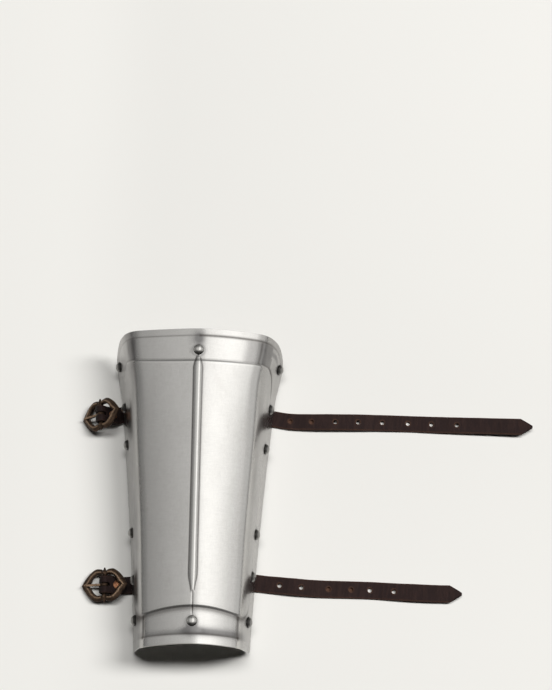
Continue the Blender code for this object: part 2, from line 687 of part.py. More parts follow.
def main():
    for old in list(bpy.data.objects):
        bpy.data.objects.remove(old)
    steel = material("satin_steel", (0.62, 0.61, 0.60), 1.0, 0.32)
    leather = material("brown_leather", (0.055, 0.026, 0.022), 0.0, 0.6)
    bronze = material("aged_bronze", (0.20, 0.12, 0.07), 1.0, 0.42)
    copper = material("copper", (0.62, 0.27, 0.13), 1.0, 0.35)

    plate = make_plate(steel)
    left_strap = buckle_strap("elbow", leather), buckle_strap("wrist", leather)
    long_strap = free_strap("long_strap", SIDE_RIVETS[1][2], LONG_STRAP, LONG_HOLES, leather)
    short_strap = free_strap("short_strap", SIDE_RIVETS[4][2], SHORT_STRAP, SHORT_HOLES, leather)
    leathers = {
        ("strap_elbow", -1): left_strap[0],
        ("strap_wrist", -1): left_strap[1],
        ("strap_elbow", 1): long_strap,
        ("strap_wrist", 1): short_strap,
    }

    holes = []
    for name, station in RIDGE_RIVETS:
        place, normal = plate_point(station, 0.0), (0, 0, 1)
        made = turned("ridge_rivet_" + name, rivet_profile(STEEL + 0.3 * MM), RIVET_STEPS, steel)
        aim(made, place, normal)
        holes.append((place, normal))
    for name, left, right, kind in SIDE_RIVETS:
        for side, station, hand in ((-1, left, "left"), (1, right, "right")):
            share = side * (1 - SIDE_RIVET_RISE / half_girth(station))
            place = plate_point(station, share)
            normal = bare_normal(np.float64(station), np.float64(share))
            grip = STEEL + (GAP + LEATHER if kind == "strap" else 0)
            full_name = "%s_%s" % (name, hand) if kind == "strap" else "border_rivet_%s_%s" % (name, hand)
            if kind == "strap":
                full_name = "strap_rivet_%s_%s" % (name.removeprefix("strap_"), hand)
                pin = drill([(place, normal)], SHANK_RADIUS + GAP, 16 * MM, "pin_" + full_name)
                combine(leathers[name, side], pin, "DIFFERENCE")
            made = turned(full_name, rivet_profile(grip), RIVET_STEPS, steel)
            aim(made, place, normal)
            holes.append((place, normal))
    combine(plate, drill(holes, SHANK_RADIUS + GAP, 10 * MM, "rivet_holes"), "DIFFERENCE")

    for key in BUCKLES:
        buckle_frame(key, bronze)
        buckle_prong(key, bronze)
        fold_rivet(key, copper)

    # The origin is the bottom centre of everything.
    stand = bpy.data.objects.new("vambrace", None)
    bpy.context.scene.collection.objects.link(stand)
    bpy.context.view_layer.update()
    graph = bpy.context.evaluated_depsgraph_get()
    corners = []
    for made in bpy.data.objects:
        if made.type == "MESH" and not made.hide_render:
            shaped = made.evaluated_get(graph)
            corners += [shaped.matrix_world @ v.co for v in shaped.data.vertices]
        if made is not stand and made.parent is None:
            made.parent = stand
    corners = np.array(corners)
    low, high = corners.min(0), corners.max(0)
    stand.location = (-(low[0] + high[0]) / 2, -(low[1] + high[1]) / 2, -low[2])


main()
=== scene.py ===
"""A steel vambrace, the plate that guards a forearm, lying on its leather straps.

The plate's axis runs along Y from the wrist to the elbow; +X is the side of the plain straps.
"""

import math

import bpy
import numpy as np
from mathutils import Matrix, Vector


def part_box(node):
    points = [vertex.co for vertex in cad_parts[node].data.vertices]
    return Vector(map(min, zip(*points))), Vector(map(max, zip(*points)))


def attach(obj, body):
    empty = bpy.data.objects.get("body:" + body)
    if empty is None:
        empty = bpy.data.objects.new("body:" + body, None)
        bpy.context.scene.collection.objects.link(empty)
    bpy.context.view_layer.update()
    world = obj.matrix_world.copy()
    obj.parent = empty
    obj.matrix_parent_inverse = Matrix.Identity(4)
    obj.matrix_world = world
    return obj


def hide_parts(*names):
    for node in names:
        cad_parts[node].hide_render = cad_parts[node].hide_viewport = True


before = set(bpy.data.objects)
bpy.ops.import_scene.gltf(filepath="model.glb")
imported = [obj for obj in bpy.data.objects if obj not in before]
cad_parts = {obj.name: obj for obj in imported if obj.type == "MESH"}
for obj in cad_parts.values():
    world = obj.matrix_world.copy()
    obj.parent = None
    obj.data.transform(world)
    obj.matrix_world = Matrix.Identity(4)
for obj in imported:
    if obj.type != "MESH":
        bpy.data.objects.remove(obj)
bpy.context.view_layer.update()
MM = 0.001

# ---------------- where it lies, and the studio
# The plate's length runs from its wrist rim, station 0, and its ridge stands over the axis.
# The rivet at the elbow end of the ridge gives both in the frame of the solids.
ELBOW_RIVET_STATION = 221 * MM
PLATE_LENGTH = 237 * MM
rivet_low, rivet_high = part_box("ridge_rivet_elbow")
AXIS_X = (rivet_low.x + rivet_high.x) / 2
WRIST_Y = (rivet_low.y + rivet_high.y) / 2 - ELBOW_RIVET_STATION

AIM_POINT = Vector((AXIS_X + 58.5 * MM, WRIST_Y + 245.1 * MM, 0))
CAMERA_BACK = 410.4 * MM
CAMERA_HEIGHT = 1127.6 * MM
CAMERA_TURN = 0.0097  # radians, away from straight along +Y
LENS = 78.26


def new_object(name, data):
    made = bpy.data.objects.new(name, data)
    bpy.context.scene.collection.objects.link(made)
    return made


lens = bpy.data.cameras.new("camera")
lens.lens = LENS
lens.clip_end = 50
camera = new_object("camera", lens)
heading = Vector((-math.sin(CAMERA_TURN), math.cos(CAMERA_TURN), 0))
camera.location = AIM_POINT - heading * CAMERA_BACK + Vector((0, 0, CAMERA_HEIGHT))
camera.rotation_euler = (AIM_POINT - camera.location).to_track_quat("-Z", "Y").to_euler()
bpy.context.scene.camera = camera
bpy.context.scene.view_settings.view_transform = "Standard"


class Signal:
    """One output socket of a node tree. Arithmetic on it adds Math nodes to that tree."""

    def __init__(self, socket):
        self.socket = socket

    def node(self, kind, settings=None, sockets=None, out=0):
        """Any other node: its settings first, then the values or links of its sockets."""
        tree = self.socket.id_data
        made = tree.nodes.new(kind)
        for name, value in (settings or {}).items():
            setattr(made, name, value)
        for key, value in (sockets or {}).items():
            if isinstance(value, Signal):
                tree.links.new(value.socket, made.inputs[key])
            else:
                made.inputs[key].default_value = value
        return Signal(made.outputs[out])

    def math(self, operation, *terms):
        return self.node("ShaderNodeMath", {"operation": operation}, dict(enumerate(terms)))

    def __add__(self, other):
        return self.math("ADD", self, other)

    def __sub__(self, other):
        return self.math("SUBTRACT", self, other)

    def __rsub__(self, other):
        return self.math("SUBTRACT", other, self)

    def __mul__(self, other):
        return self.math("MULTIPLY", self, other)

    __radd__, __rmul__ = __add__, __mul__

    def part(self, axis):
        """The X, Y or Z of this vector."""
        return self.node("ShaderNodeSeparateXYZ", {}, {0: self}, axis)

    def carried(self, name):
        """The value that a piece's points carry under this name."""
        return self.node("ShaderNodeAttribute", {"attribute_name": name}, {}, "Fac")

    def fade(self, low, high, start=0.0, end=1.0):
        """Goes smoothly from start to end as this value goes from low to high."""
        sockets = {"Value": self, "From Min": low, "From Max": high, "To Min": start, "To Max": end}
        return self.node("ShaderNodeMapRange", {"interpolation_type": "SMOOTHSTEP"}, sockets)

    def blend(self, first, second):
        """A colour between two, with this value as the share of the second."""
        first, second = ((*c, 1) if isinstance(c, tuple) else c for c in (first, second))
        return self.node("ShaderNodeMix", {"data_type": "RGBA"}, {0: self, 6: first, 7: second}, 2)

    def stretched(self, x, y, z):
        """This vector with its parts scaled, to lengthen or shorten a pattern."""
        return self.node("ShaderNodeMapping", {}, {"Vector": self, "Scale": (x, y, z)})

    def noise(self, scale, detail=3.0, roughness=0.55, distortion=0.0):
        """Cloudy values round 0.5, this many to the metre."""
        sockets = {"Vector": self, "Scale": scale, "Detail": detail, "Roughness": roughness}
        return self.node("ShaderNodeTexNoise", {}, {**sockets, "Distortion": distortion})


def new_material(name):
    """Its place in object coordinates, and a function that sets its sockets and gives the material."""
    made = bpy.data.materials.new(name)
    made.use_nodes = True
    tree = made.node_tree
    shader = tree.nodes["Principled BSDF"]
    place = Signal(tree.nodes.new("ShaderNodeTexCoord").outputs["Object"])

    def finish(bump=None, distance=0.0, **sockets):
        for key, value in sockets.items():
            socket = shader.inputs[key.replace("_", " ")]
            if isinstance(value, Signal):
                tree.links.new(value.socket, socket)
            else:
                socket.default_value = (*value, 1) if isinstance(value, tuple) else value
        if bump is not None:
            made_bump = bump.node("ShaderNodeBump", {}, {"Height": bump, "Distance": distance})
            tree.links.new(made_bump.socket, shader.inputs["Normal"])
        return made

    return place, finish


# The floor: a wide sheet of off-white board. Painted light makes it a little paler beyond the buckles
# and before the wrist.
floor_mesh = bpy.data.meshes.new("floor")
FLOOR_REACH = 6.0
corners = [(-FLOOR_REACH, -FLOOR_REACH, 0), (FLOOR_REACH, -FLOOR_REACH, 0)]
corners += [(FLOOR_REACH, FLOOR_REACH, 0), (-FLOOR_REACH, FLOOR_REACH, 0)]
floor_mesh.from_pydata(corners, [], [(0, 1, 2, 3)])
floor = new_object("floor", floor_mesh)
place, finish = new_material("pale_board")
# Painted light: the board grows paler to the left and towards the front.
painted_floor_light = place.part("X").fade(-0.11, -0.21, 0.0, 0.485) + place.part("Y").fade(0.12, -0.16, 0.0, 0.335)
board = (painted_floor_light + place.noise(3.0) * 0.18).blend((0.772, 0.760, 0.725), (0.881, 0.868, 0.827))
floor_mesh.materials.append(finish(Base_Color=board, Roughness=0.9, Specular_IOR_Level=0.15))

# What the steel mirrors: a room with a long bright ceiling panel to the right of the plate, a dimmer
# ceiling to its left, and dark walls low down all round. The lamps below give all the other light.
world = bpy.data.worlds.new("studio")
world.use_nodes = True
world.cycles_visibility.diffuse = False
bpy.context.scene.world = world
sky = world.node_tree
direction = Signal(sky.nodes.new("ShaderNodeTexCoord").outputs["Generated"])
toward_x, toward_y, toward_z = (direction.part(axis) for axis in "XYZ")
left_ceiling = toward_x.fade(-0.9, -0.25, 0.32, 0.76)
right_ceiling = toward_x.fade(0.36, 0.72, 1.85, 0.76)
ceiling = left_ceiling + toward_x.fade(-0.08, 0.34) * (right_ceiling - left_ceiling)
far_wall = toward_y.fade(0.38, 0.74, 1.0, 0.32)
near_wall = toward_y.fade(-0.85, -0.28, 0.2, 1.0)
brightness = ceiling * far_wall * near_wall * toward_z.fade(-0.02, 0.32, 0.25, 1.0)
warm = {0: brightness, 1: brightness * 0.995, 2: brightness * 0.975}
tint = brightness.node("ShaderNodeCombineXYZ", {}, warm)
sky.links.new(tint.socket, sky.nodes["Background"].inputs["Color"])

LAMP_DISTANCE = 4.0


def lamp(name, toward, wide_degrees, deep_degrees, watts):
    """A softbox that faces the plate, as wide and as deep as the two angles it fills seen from there."""
    light = bpy.data.lights.new(name, "AREA")
    light.shape, light.energy = "ELLIPSE", watts
    light.size = 2 * LAMP_DISTANCE * math.tan(math.radians(wide_degrees / 2))
    light.size_y = 2 * LAMP_DISTANCE * math.tan(math.radians(deep_degrees / 2))
    made = new_object(name, light)
    way = Vector(toward).normalized()
    deep = way.cross(Vector((1, 0, 0))).normalized()
    turn = Matrix((deep.cross(way), deep, way)).transposed().to_4x4()
    middle = Vector((AXIS_X, WRIST_Y + PLATE_LENGTH / 2, 0))
    made.matrix_world = Matrix.Translation(middle + way * LAMP_DISTANCE) @ turn
    made.visible_glossy = False


lamp("key", (0.61, 0.19, 0.78), 33.0, 14.0, 122.0)
lamp("overhead", (0.0, 0.26, 1.0), 40.0, 15.0, 83.0)

# ---------------- the plate
# One sheet of satin steel, bent to a half shell with a ridge, its middle raised as a panel and a rib
# chased along the ridge. The rims at both ends are turned up into narrow lips.
STEEL = 1.2 * MM
WRIST_HALF_WIDTH = 43.2 * MM
FLARE_SLOPE = 0.055
FLARE_GROWTH = 0.163 / 1000 / MM  # how fast the half width's slope itself grows
ELBOW_FLARE = 3.0 * MM  # the elbow end is spread a little more than the line of the sides
FLARE_START = 195 * MM
FLARE_LENGTH = 35 * MM
LEAN = 1.9 * MM  # how much nearer the axis the right side stands than the left
LEAN_LOST = 0.45  # the share of the lean that is gone at the elbow
WRIST_CROWN = 38.8 * MM
ELBOW_CROWN = 52.8 * MM
EDGE_HEIGHT = 3.35 * MM  # of the lower edges, which sit in the bends of the straps
WRIST_BOW = 2.5 * MM
WRIST_TRIM = 1.2 * MM  # the wrist rim stands back by this much at its crown, and further down its sides
WRIST_SLANT = 1.5 * MM
WRIST_SLANT_REACH = 32 * MM
ELBOW_SLANT = 2 * MM  # how far the rim's left end stands out, and its right end back
ELBOW_CORNER = 30 * MM
WRIST_CORNER = 2.5 * MM
ELBOW_LIP = 4.8 * MM  # the lips' lengths from their creases to the rims, and their rises
ELBOW_LIP_RISE = 1.3 * MM
WRIST_LIP = 6.4 * MM
WRIST_LIP_RISE = 0.6 * MM
WRIST_FILLET = 8 * MM  # the wrist lip grows out of a hollow curve
WRIST_FILLET_RISE = 1.3 * MM
FACE_ENDS = 0.70  # the lips run out past this share of the half width
FACE_FADE = 0.28
CORNER_START = 212 * MM  # where the elbow lip begins to turn down its corners
CORNER_FADE = 10 * MM
RIDGE_ROUNDING = 6 * MM
PANEL_RISE = 1.3 * MM  # the step up to the panel is steep at its foot, low and soft at its top
PANEL_TOP_RISE = 0.6 * MM
PANEL_STEP = 2.4 * MM
PANEL_TOP_STEP = 2.6 * MM
FOOT_STEP_ENDS = 90 * MM  # the foot's steep step is fully soft here, and begins to soften this much before
FOOT_STEP_FADE = 50 * MM
PANEL_TOP = 24.5 * MM
PANEL_TOP_ARCH = 5 * MM  # on the left half; the right half's top is straight
PANEL_FOOT = 28 * MM
PANEL_FOOT_ARCH = 5.2 * MM
PANEL_FOOT_REACH = 0.76  # the share of the half width at which the arch has dropped by its height
PANEL_CORNER = 22 * MM
PANEL_FOOT_CORNER = 15 * MM
BORDER = 16.5 * MM
RIB_RISE = 1.5 * MM
RIB_HALF_WIDTH = 3.2 * MM
RIB_START = 37 * MM
RIB_END = 218 * MM
RIB_NECK = 0.38  # the rib's width under the top rivet, as a share of its full width
NECK_LENGTH = 12 * MM
RIB_TIP = 0.35
TIP_LENGTH = 15 * MM
TAIL_START = 21 * MM  # a scored line runs on from the rib's tip to here
CREASE_DEPTH = 0.28 * MM
CREASE_HALF_WIDTH = 0.7 * MM
LINE_HALF_WIDTH = 0.45 * MM
SIDE_RIVET_RISE = 11.5 * MM
WRIST_RIVET_STATION = 17.4 * MM
SIDE_RIVETS = (  # name, station on the left, station on the right (mm)
    ("border_rivet_elbow", 220.4, 219.2),
    ("strap_rivet_elbow", 186.6, 186.2),
    ("border_rivet_upper", 156.8, 154.4),
    ("border_rivet_lower", 87.8, 87.3),
    ("strap_rivet_wrist", 52.0, 55.2),
    ("border_rivet_wrist", 21.9, 21.2),
)
BEND_OUT = 0.775  # where the face turns into the side, as a share of the half width
BEND_HEIGHT = 0.08 * MM
BEND_REACH = 5 * MM
BEND_SHIFT = 0.045  # how much nearer the ridge the bend comes at the elbow

SHARE_KNOTS = (0.00, 0.10, 0.46, 0.57, 0.66, 0.80, 1.00)
ELBOW_KNOTS = (0.00, 0.10, 0.42, 0.52, 0.61, 0.78, 1.00)  # towards the elbow the bend comes sooner
SLOPE_KNOTS = (7, 10, 22, 56, 73, 76, 78)  # degrees, from the ridge to the lower edge
SHARE = np.linspace(0, 1, 201)
ELBOW_SECTION_START = 140 * MM
ELBOW_SECTION_FADE = 80 * MM


def section(knots):
    """How far out and how far down the section is at each share: sums of the slope's cosine and sine."""
    slope = np.radians(np.interp(SHARE, knots, SLOPE_KNOTS))
    steps = np.stack([np.cos(slope), np.sin(slope)])
    sums = np.cumsum((steps[:, 1:] + steps[:, :-1]) / 2, 1)
    return np.insert(sums / sums[:, -1:], 0, 0, axis=1)


WRIST_SECTION, ELBOW_SECTION = section(SHARE_KNOTS), section(ELBOW_KNOTS)


def smoothstep(distance, width=1):
    """0 up to 0, 1 from the width on, and between them three squares less two cubes of the share."""
    x = np.clip(distance / width, 0, 1)
    return x * x * (3 - 2 * x)


def bell(distance, width):
    """A bell curve: it falls to 1 / e at its width."""
    return np.exp(-((distance / width) ** 2))


def unit(vectors):
    """Each vector divided by its length."""
    return vectors / np.linalg.norm(vectors, axis=-1, keepdims=True)


def spaced(*stretches):
    """Knots with evenly spread values between them: start, then (end, number of steps) for each stretch."""
    values = [stretches[0]]
    for end, steps in stretches[1:]:
        values += list(np.linspace(values[-1], end, steps + 1)[1:])
    return np.array(values)


def half_width(station):
    """A straight taper with a square term that flares it."""
    return WRIST_HALF_WIDTH + FLARE_SLOPE * station + FLARE_GROWTH * station**2


def crown(station):
    """Height of the ridge above the edges: a straight line from the wrist to the elbow."""
    return WRIST_CROWN + (ELBOW_CROWN - WRIST_CROWN) * station / PLATE_LENGTH


def half_girth(station):
    """Length over the surface from the ridge to the lower edge, read off a line through nine stations."""
    at = np.linspace(-5 * MM, 242 * MM, 9)
    out, drop = (np.diff(values) for values in WRIST_SECTION)
    lengths = np.hypot(out * half_width(at)[:, None], drop * crown(at)[:, None]).sum(1)
    return np.interp(station, at, lengths)


def near_elbow(station):
    """How far the elbow's section has taken over from the wrist's."""
    return smoothstep(station - ELBOW_SECTION_START, ELBOW_SECTION_FADE)


def section_at(station, share):
    """How far out and how far down, as shares of the half width and the crown: a mean of the two sections."""
    part, share = near_elbow(station), np.abs(share)
    pairs = zip(WRIST_SECTION, ELBOW_SECTION)
    return [(1 - part) * np.interp(share, SHARE, a) + part * np.interp(share, SHARE, b) for a, b in pairs]


def bare_point(station, share):
    """The surface before it is worked: half an oval, scaled by the half width and the crown of its station.

    As hammered, it leans: its left side stands further from the ridge than its right side.
    """
    spread = smoothstep(station - FLARE_START, FLARE_LENGTH)
    reach = np.sign(share) * (half_width(station) + ELBOW_FLARE * spread) - LEAN * (1 - LEAN_LOST * spread)
    out, drop = section_at(station, share)
    x = AXIS_X + reach * out
    z = EDGE_HEIGHT + crown(station) * (1 - drop)
    return np.stack([x, WRIST_Y + station + 0 * x, z], -1)


def bare_normal(station, share):
    """The cross product of short steps across and along the bare surface."""
    step = 0.012
    across = bare_point(station, share + step) - bare_point(station, share - step)
    along = bare_point(station + step * MM, share) - bare_point(station - step * MM, share)
    return unit(np.cross(across, along))


def corner_cut(inward, radius):
    """How far a rounded corner stands back from the rim, by the distance in from the side edge."""
    left = np.clip(radius - inward, 0, radius)
    return radius - np.sqrt(radius**2 - left**2)


def inside_corner(a, b, radius):
    """Distance inside two sides that meet in a rounded corner: the radius less the distance to its centre."""
    return radius - np.hypot(np.maximum(radius - a, 0), np.maximum(radius - b, 0))


def wrist_rim(out, inward):
    """Station of the wrist rim: bowed across the crown, slanting back down the sides to a rounded corner."""
    slant = WRIST_SLANT * np.clip(1 - inward / WRIST_SLANT_REACH, 0, 1)
    return WRIST_TRIM - WRIST_BOW * out**2 + slant + corner_cut(inward, WRIST_CORNER)


def elbow_rim(share, out, inward):
    """Station of the elbow rim: it slants, standing further out on the left, to rounded corners."""
    return PLATE_LENGTH - ELBOW_SLANT * np.sign(share) * out**2 - corner_cut(inward, ELBOW_CORNER)


def panel_foot(out):
    """Station of the panel's foot: a parabola, highest on the ridge."""
    return PANEL_FOOT - PANEL_FOOT_ARCH * (out / PANEL_FOOT_REACH) ** 2


def panel_top(share, out):
    """Station of the panel's top: straight on the right, a parabola rising to the side on the left."""
    return PLATE_LENGTH - PANEL_TOP + PANEL_TOP_ARCH * (share < 0) * out**2


def worked(station, share):
    """Height of the work above the bare surface, and its painted shade, highlight and shade patches.

    The panel is a smooth step across its outline and the rib a parabola across the ridge. The lip at the
    elbow is a straight rise; the one at the wrist is a square law up to its crease, then a straight rise.
    The creases are bell curves, and the ridge is rounded with a parabola.
    """
    girth = half_girth(station)
    inward, from_ridge = (1 - np.abs(share)) * girth, np.abs(share) * girth
    on_left, on_right = share < 0, share > 0
    out = section_at(station, share)[0]
    wrist, elbow = wrist_rim(out, inward), elbow_rim(share, out, inward)
    foot, top = panel_foot(out), panel_top(share, out)
    inside = np.minimum(
        inside_corner(inward - BORDER, station - foot, PANEL_FOOT_CORNER),
        inside_corner(inward - BORDER, top - station, PANEL_CORNER),
    )
    towards_foot = smoothstep(FOOT_STEP_ENDS - station, FOOT_STEP_FADE)
    step_width = PANEL_TOP_STEP + (PANEL_STEP - PANEL_TOP_STEP) * towards_foot
    step_rise = PANEL_TOP_RISE + (PANEL_RISE - PANEL_TOP_RISE) * towards_foot
    panel = step_rise * smoothstep(inside + step_width / 2, step_width)

    neck = RIB_NECK + (1 - RIB_NECK) * smoothstep(RIB_END - station, NECK_LENGTH)
    neck *= RIB_TIP + (1 - RIB_TIP) * smoothstep(station - RIB_START, TIP_LENGTH)
    rib_half = RIB_HALF_WIDTH * neck
    ends = smoothstep(station - RIB_START, 3 * MM) * smoothstep(RIB_END - station, 4 * MM)
    rib = RIB_RISE * neck * ends * np.clip(1 - (from_ridge / rib_half) ** 2, 0, 1)

    on_face = 1 - smoothstep(out - FACE_ENDS, FACE_FADE)
    past_wrist_crease = WRIST_LIP - (station - wrist)
    from_elbow = inside_corner(inward, elbow + corner_cut(inward, ELBOW_CORNER) - station, ELBOW_CORNER)
    past_elbow_crease = ELBOW_LIP - np.minimum(from_elbow, elbow - station)
    round_corner = smoothstep(station - CORNER_START, CORNER_FADE)
    fillet = np.clip(past_wrist_crease / WRIST_FILLET + 1, 0, 1) ** 2
    wrist_lip = WRIST_LIP_RISE * np.clip(past_wrist_crease / WRIST_LIP, 0, 1)
    elbow_lip = ELBOW_LIP_RISE * (0.35 + 0.65 * on_face) * np.clip(past_elbow_crease / ELBOW_LIP, 0, 1)
    lip = on_face * (WRIST_FILLET_RISE * fillet + wrist_lip) + round_corner * elbow_lip
    rounding = np.clip(RIDGE_ROUNDING - from_ridge, 0, None) ** 2 / (2 * RIDGE_ROUNDING)
    rounding *= math.tan(math.radians(SLOPE_KNOTS[0]))

    # The face's bend is carried over both bands as a crease, and the rib as a scored line to its rivet.
    from_bend = (out - BEND_OUT + BEND_SHIFT * near_elbow(station)) * half_width(station)
    bend = BEND_HEIGHT * np.clip(1 - np.abs(from_bend) / BEND_REACH, 0, 1)
    wrist_band = smoothstep(2 * MM - past_wrist_crease, 2 * MM) * smoothstep(foot - station, MM)
    elbow_band = smoothstep(station - top, MM) * smoothstep(-past_elbow_crease, 2 * MM)
    tail = smoothstep(station - TAIL_START, 2 * MM)
    tail = tail * smoothstep(RIB_START + 3 * MM - station, 2 * MM)
    crease = bell(from_bend, CREASE_HALF_WIDTH) * (wrist_band + on_right * elbow_band)
    crease += bell(from_ridge, LINE_HALF_WIDTH) * tail

    # Painted shade darkens the creases, beside the rib and along the foot of the panel's step.
    wall = smoothstep(from_bend, 4 * MM)
    by_wrist_buckle = on_left * wall * smoothstep(76 * MM - station, 12 * MM)
    by_corner = on_right * smoothstep(BORDER + PANEL_CORNER - inward, 8 * MM)
    by_corner = by_corner * smoothstep(PANEL_CORNER - top + station, 8 * MM)
    shade_width = (0.5 + 1.7 * towards_foot + 2.0 * by_wrist_buckle + 0.9 * by_corner) * MM
    beside_panel = bell(inside + step_width / 2, shade_width)
    beside_panel *= 0.22 + 0.43 * towards_foot + 0.1 * wall + 0.4 * by_wrist_buckle + 0.55 * by_corner
    elbow_fold = bell(past_elbow_crease, (0.55 + 0.4 * on_right) * MM) * (0.6 + 0.4 * on_right)
    wrist_fold = bell(past_wrist_crease + 0.5 * MM, 0.9 * MM)
    painted_shade = 0.7 * crease + 0.75 * bell(from_ridge - rib_half, LINE_HALF_WIDTH) * ends + beside_panel
    painted_shade += on_face * (0.85 * elbow_fold + 0.6 * wrist_fold)
    painted_shade += 0.3 * (1 - on_face) * round_corner * elbow_fold

    # A painted highlight lies on the rib, the panel's upper edge and the wrist lip.
    painted_highlight = (1 - 0.7 * wall) * bell(inside - step_width / 2, 0.7 * MM) + bell(from_ridge, 0.8 * MM) * ends
    painted_highlight += 0.6 * on_face * smoothstep(past_wrist_crease, MM)

    # Painted shade in smoky patches: at the ends of the ridge, on the elbow's band, down the walls, above
    # the wrist lip, in a streak on the right of the elbow lip, and in a ring round each rivet.
    above_rivet = bell(from_ridge, 3.8 * MM) * bell(station - 230 * MM, 5.5 * MM)
    below_rivet = bell(from_ridge, 5.5 * MM) * bell(station - 11 * MM, 4 * MM)
    left_side = on_left * smoothstep(from_bend + 0.5 * MM, MM) * smoothstep(6.5 * MM - from_bend, 2 * MM)
    right_side = 0.55 * on_right * smoothstep(from_bend + 15 * MM, 7 * MM) * (from_bend < 8 * MM)
    left_bend = on_left * bell(from_bend - 2.5 * MM, 5 * MM)
    rightwards = smoothstep(share + 0.2, 0.2)
    above_rim = bell(past_wrist_crease + 2.4 * MM, (1.8 + 1.4 * rightwards) * MM)
    above_rim *= on_face * (0.35 + 0.65 * rightwards)
    streak = on_right * bell(past_elbow_crease + 5.5 * MM, 1.7 * MM) * bell(from_bend - 9 * MM, 5 * MM)
    painted_shade_patches = 1.3 * above_rivet + 0.8 * below_rivet + elbow_band * (left_side + right_side)
    painted_shade_patches += 0.5 * wall + 0.42 * left_bend + 1.1 * above_rim + 0.8 * round_corner * streak
    for at in (ELBOW_RIVET_STATION, WRIST_RIVET_STATION):
        painted_shade_patches = painted_shade_patches + 0.5 * bell(np.hypot(from_ridge, station - at + 0.6 * MM) - 4.3 * MM, 0.9 * MM)
    for _, left, right in SIDE_RIVETS:
        away = np.hypot(inward - SIDE_RIVET_RISE, station - np.where(on_left, left, right) * MM)
        painted_shade_patches = painted_shade_patches + 0.6 * bell(away - 4.2 * MM, 0.9 * MM)
    lift = panel + rib + lip + bend - rounding - CREASE_DEPTH * crease
    return lift, np.clip(painted_shade, 0, 1), np.clip(painted_highlight, 0, 1), np.clip(painted_shade_patches, 0, 1)


def grid_faces(rows, columns, wrap=False):
    """Quads between neighbouring points of a grid, facing the way that rows cross columns."""
    r = np.arange(rows - 1)[:, None]
    c = np.arange(columns if wrap else columns - 1)[None, :]
    n = (c + 1) % columns
    quads = [r * columns + c, r * columns + n, (r + 1) * columns + n, (r + 1) * columns + c]
    return np.stack(quads, -1).reshape(-1, 4)


def carry(mesh, name, values):
    """A named value on each of a mesh's points."""
    carried = mesh.attributes.new(name, "FLOAT", "POINT")
    carried.data.foreach_set("value", np.ravel(values).astype(np.float32))


def new_piece(name, points, faces, material, smooth_degrees=50, values=None):
    """A mesh object from points and faces, smooth but for its sharp edges, with values on its points."""
    mesh = bpy.data.meshes.new(name)
    mesh.from_pydata(np.asarray(points).reshape(-1, 3).tolist(), [], [list(f) for f in faces])
    mesh.validate()
    for key, value in (values or {}).items():
        carry(mesh, key, value)
    mesh.shade_smooth()
    mesh.set_sharp_from_angle(angle=math.radians(smooth_degrees))
    mesh.materials.append(material)
    return new_object(name, mesh)


place, finish = new_material("satin_steel")
grain = place.stretched(1.0, 0.08, 1.0).noise(2400.0, 2.0)
cross_grain = place.stretched(0.10, 1.0, 0.10).noise(1700.0, 2.0)
cloud = place.noise(28.0, 4.0, 0.6)
smear = place.stretched(1.0, 0.35, 1.0).noise(90.0, 4.0, 0.65)
fine = place.noise(900.0, 2.0)
painted_shade, painted_highlight, painted_shade_patches = (place.carried(name) for name in ("painted_shade", "painted_highlight", "painted_shade_patches"))
metal = cloud.blend((0.60, 0.59, 0.575), (0.545, 0.535, 0.52))
metal = (smear.fade(0.45, 0.75) * 0.35).blend(metal, (0.50, 0.485, 0.465))
metal = ((grain + cross_grain).fade(0.8, 1.2) * 0.16).blend(metal, (0.74, 0.73, 0.71))
# A painted highlight on the rib, the panel's upper edge, the wrist lip and the rim.
metal = (painted_highlight * 0.5).blend(metal, (0.70, 0.69, 0.67))
# Patches of smoky painted shade.
metal = (painted_shade_patches * (0.5 + smear * 0.5)).blend(metal, (0.12, 0.115, 0.118))
# Painted shade in the creases and beside the panel's step, near black.
metal = (painted_shade * (0.75 + fine * 0.4)).blend(metal, (0.08, 0.07, 0.065))
rough = 0.15 + smear * 0.10 + cloud * 0.06 + painted_shade * 0.18 + painted_shade_patches * 0.1 - painted_highlight * 0.03
steel = finish(
    bump=grain * 0.35 + cross_grain * 0.3 + fine * 0.15 + smear * 0.9,
    distance=0.05 * MM,
    Base_Color=metal,
    Roughness=rough,
    Metallic=1.0,
)


def rolled_rim(outer, inner):
    """Rings round the sheet's border: half circles from the outer face to the inner one."""
    rows, columns = outer.shape[:2]
    index = np.arange(rows * columns).reshape(rows, columns)
    loop = np.concatenate([index[0], index[1:, -1], index[-1, -2::-1], index[-2:0:-1, 0]])
    r, c = np.divmod(loop, columns)
    top, bottom = outer[r, c], inner[r, c]
    away = unit(top - outer[np.clip(r, 1, rows - 2), np.clip(c, 1, columns - 2)])
    thick = np.linalg.norm(top - bottom, axis=1, keepdims=True)
    turns = np.radians((45, 90, 135))[:, None, None]
    rings = (top + bottom) / 2 + (top - bottom) / 2 * np.cos(turns) + away * thick * 0.4 * np.sin(turns)
    return loop, rings


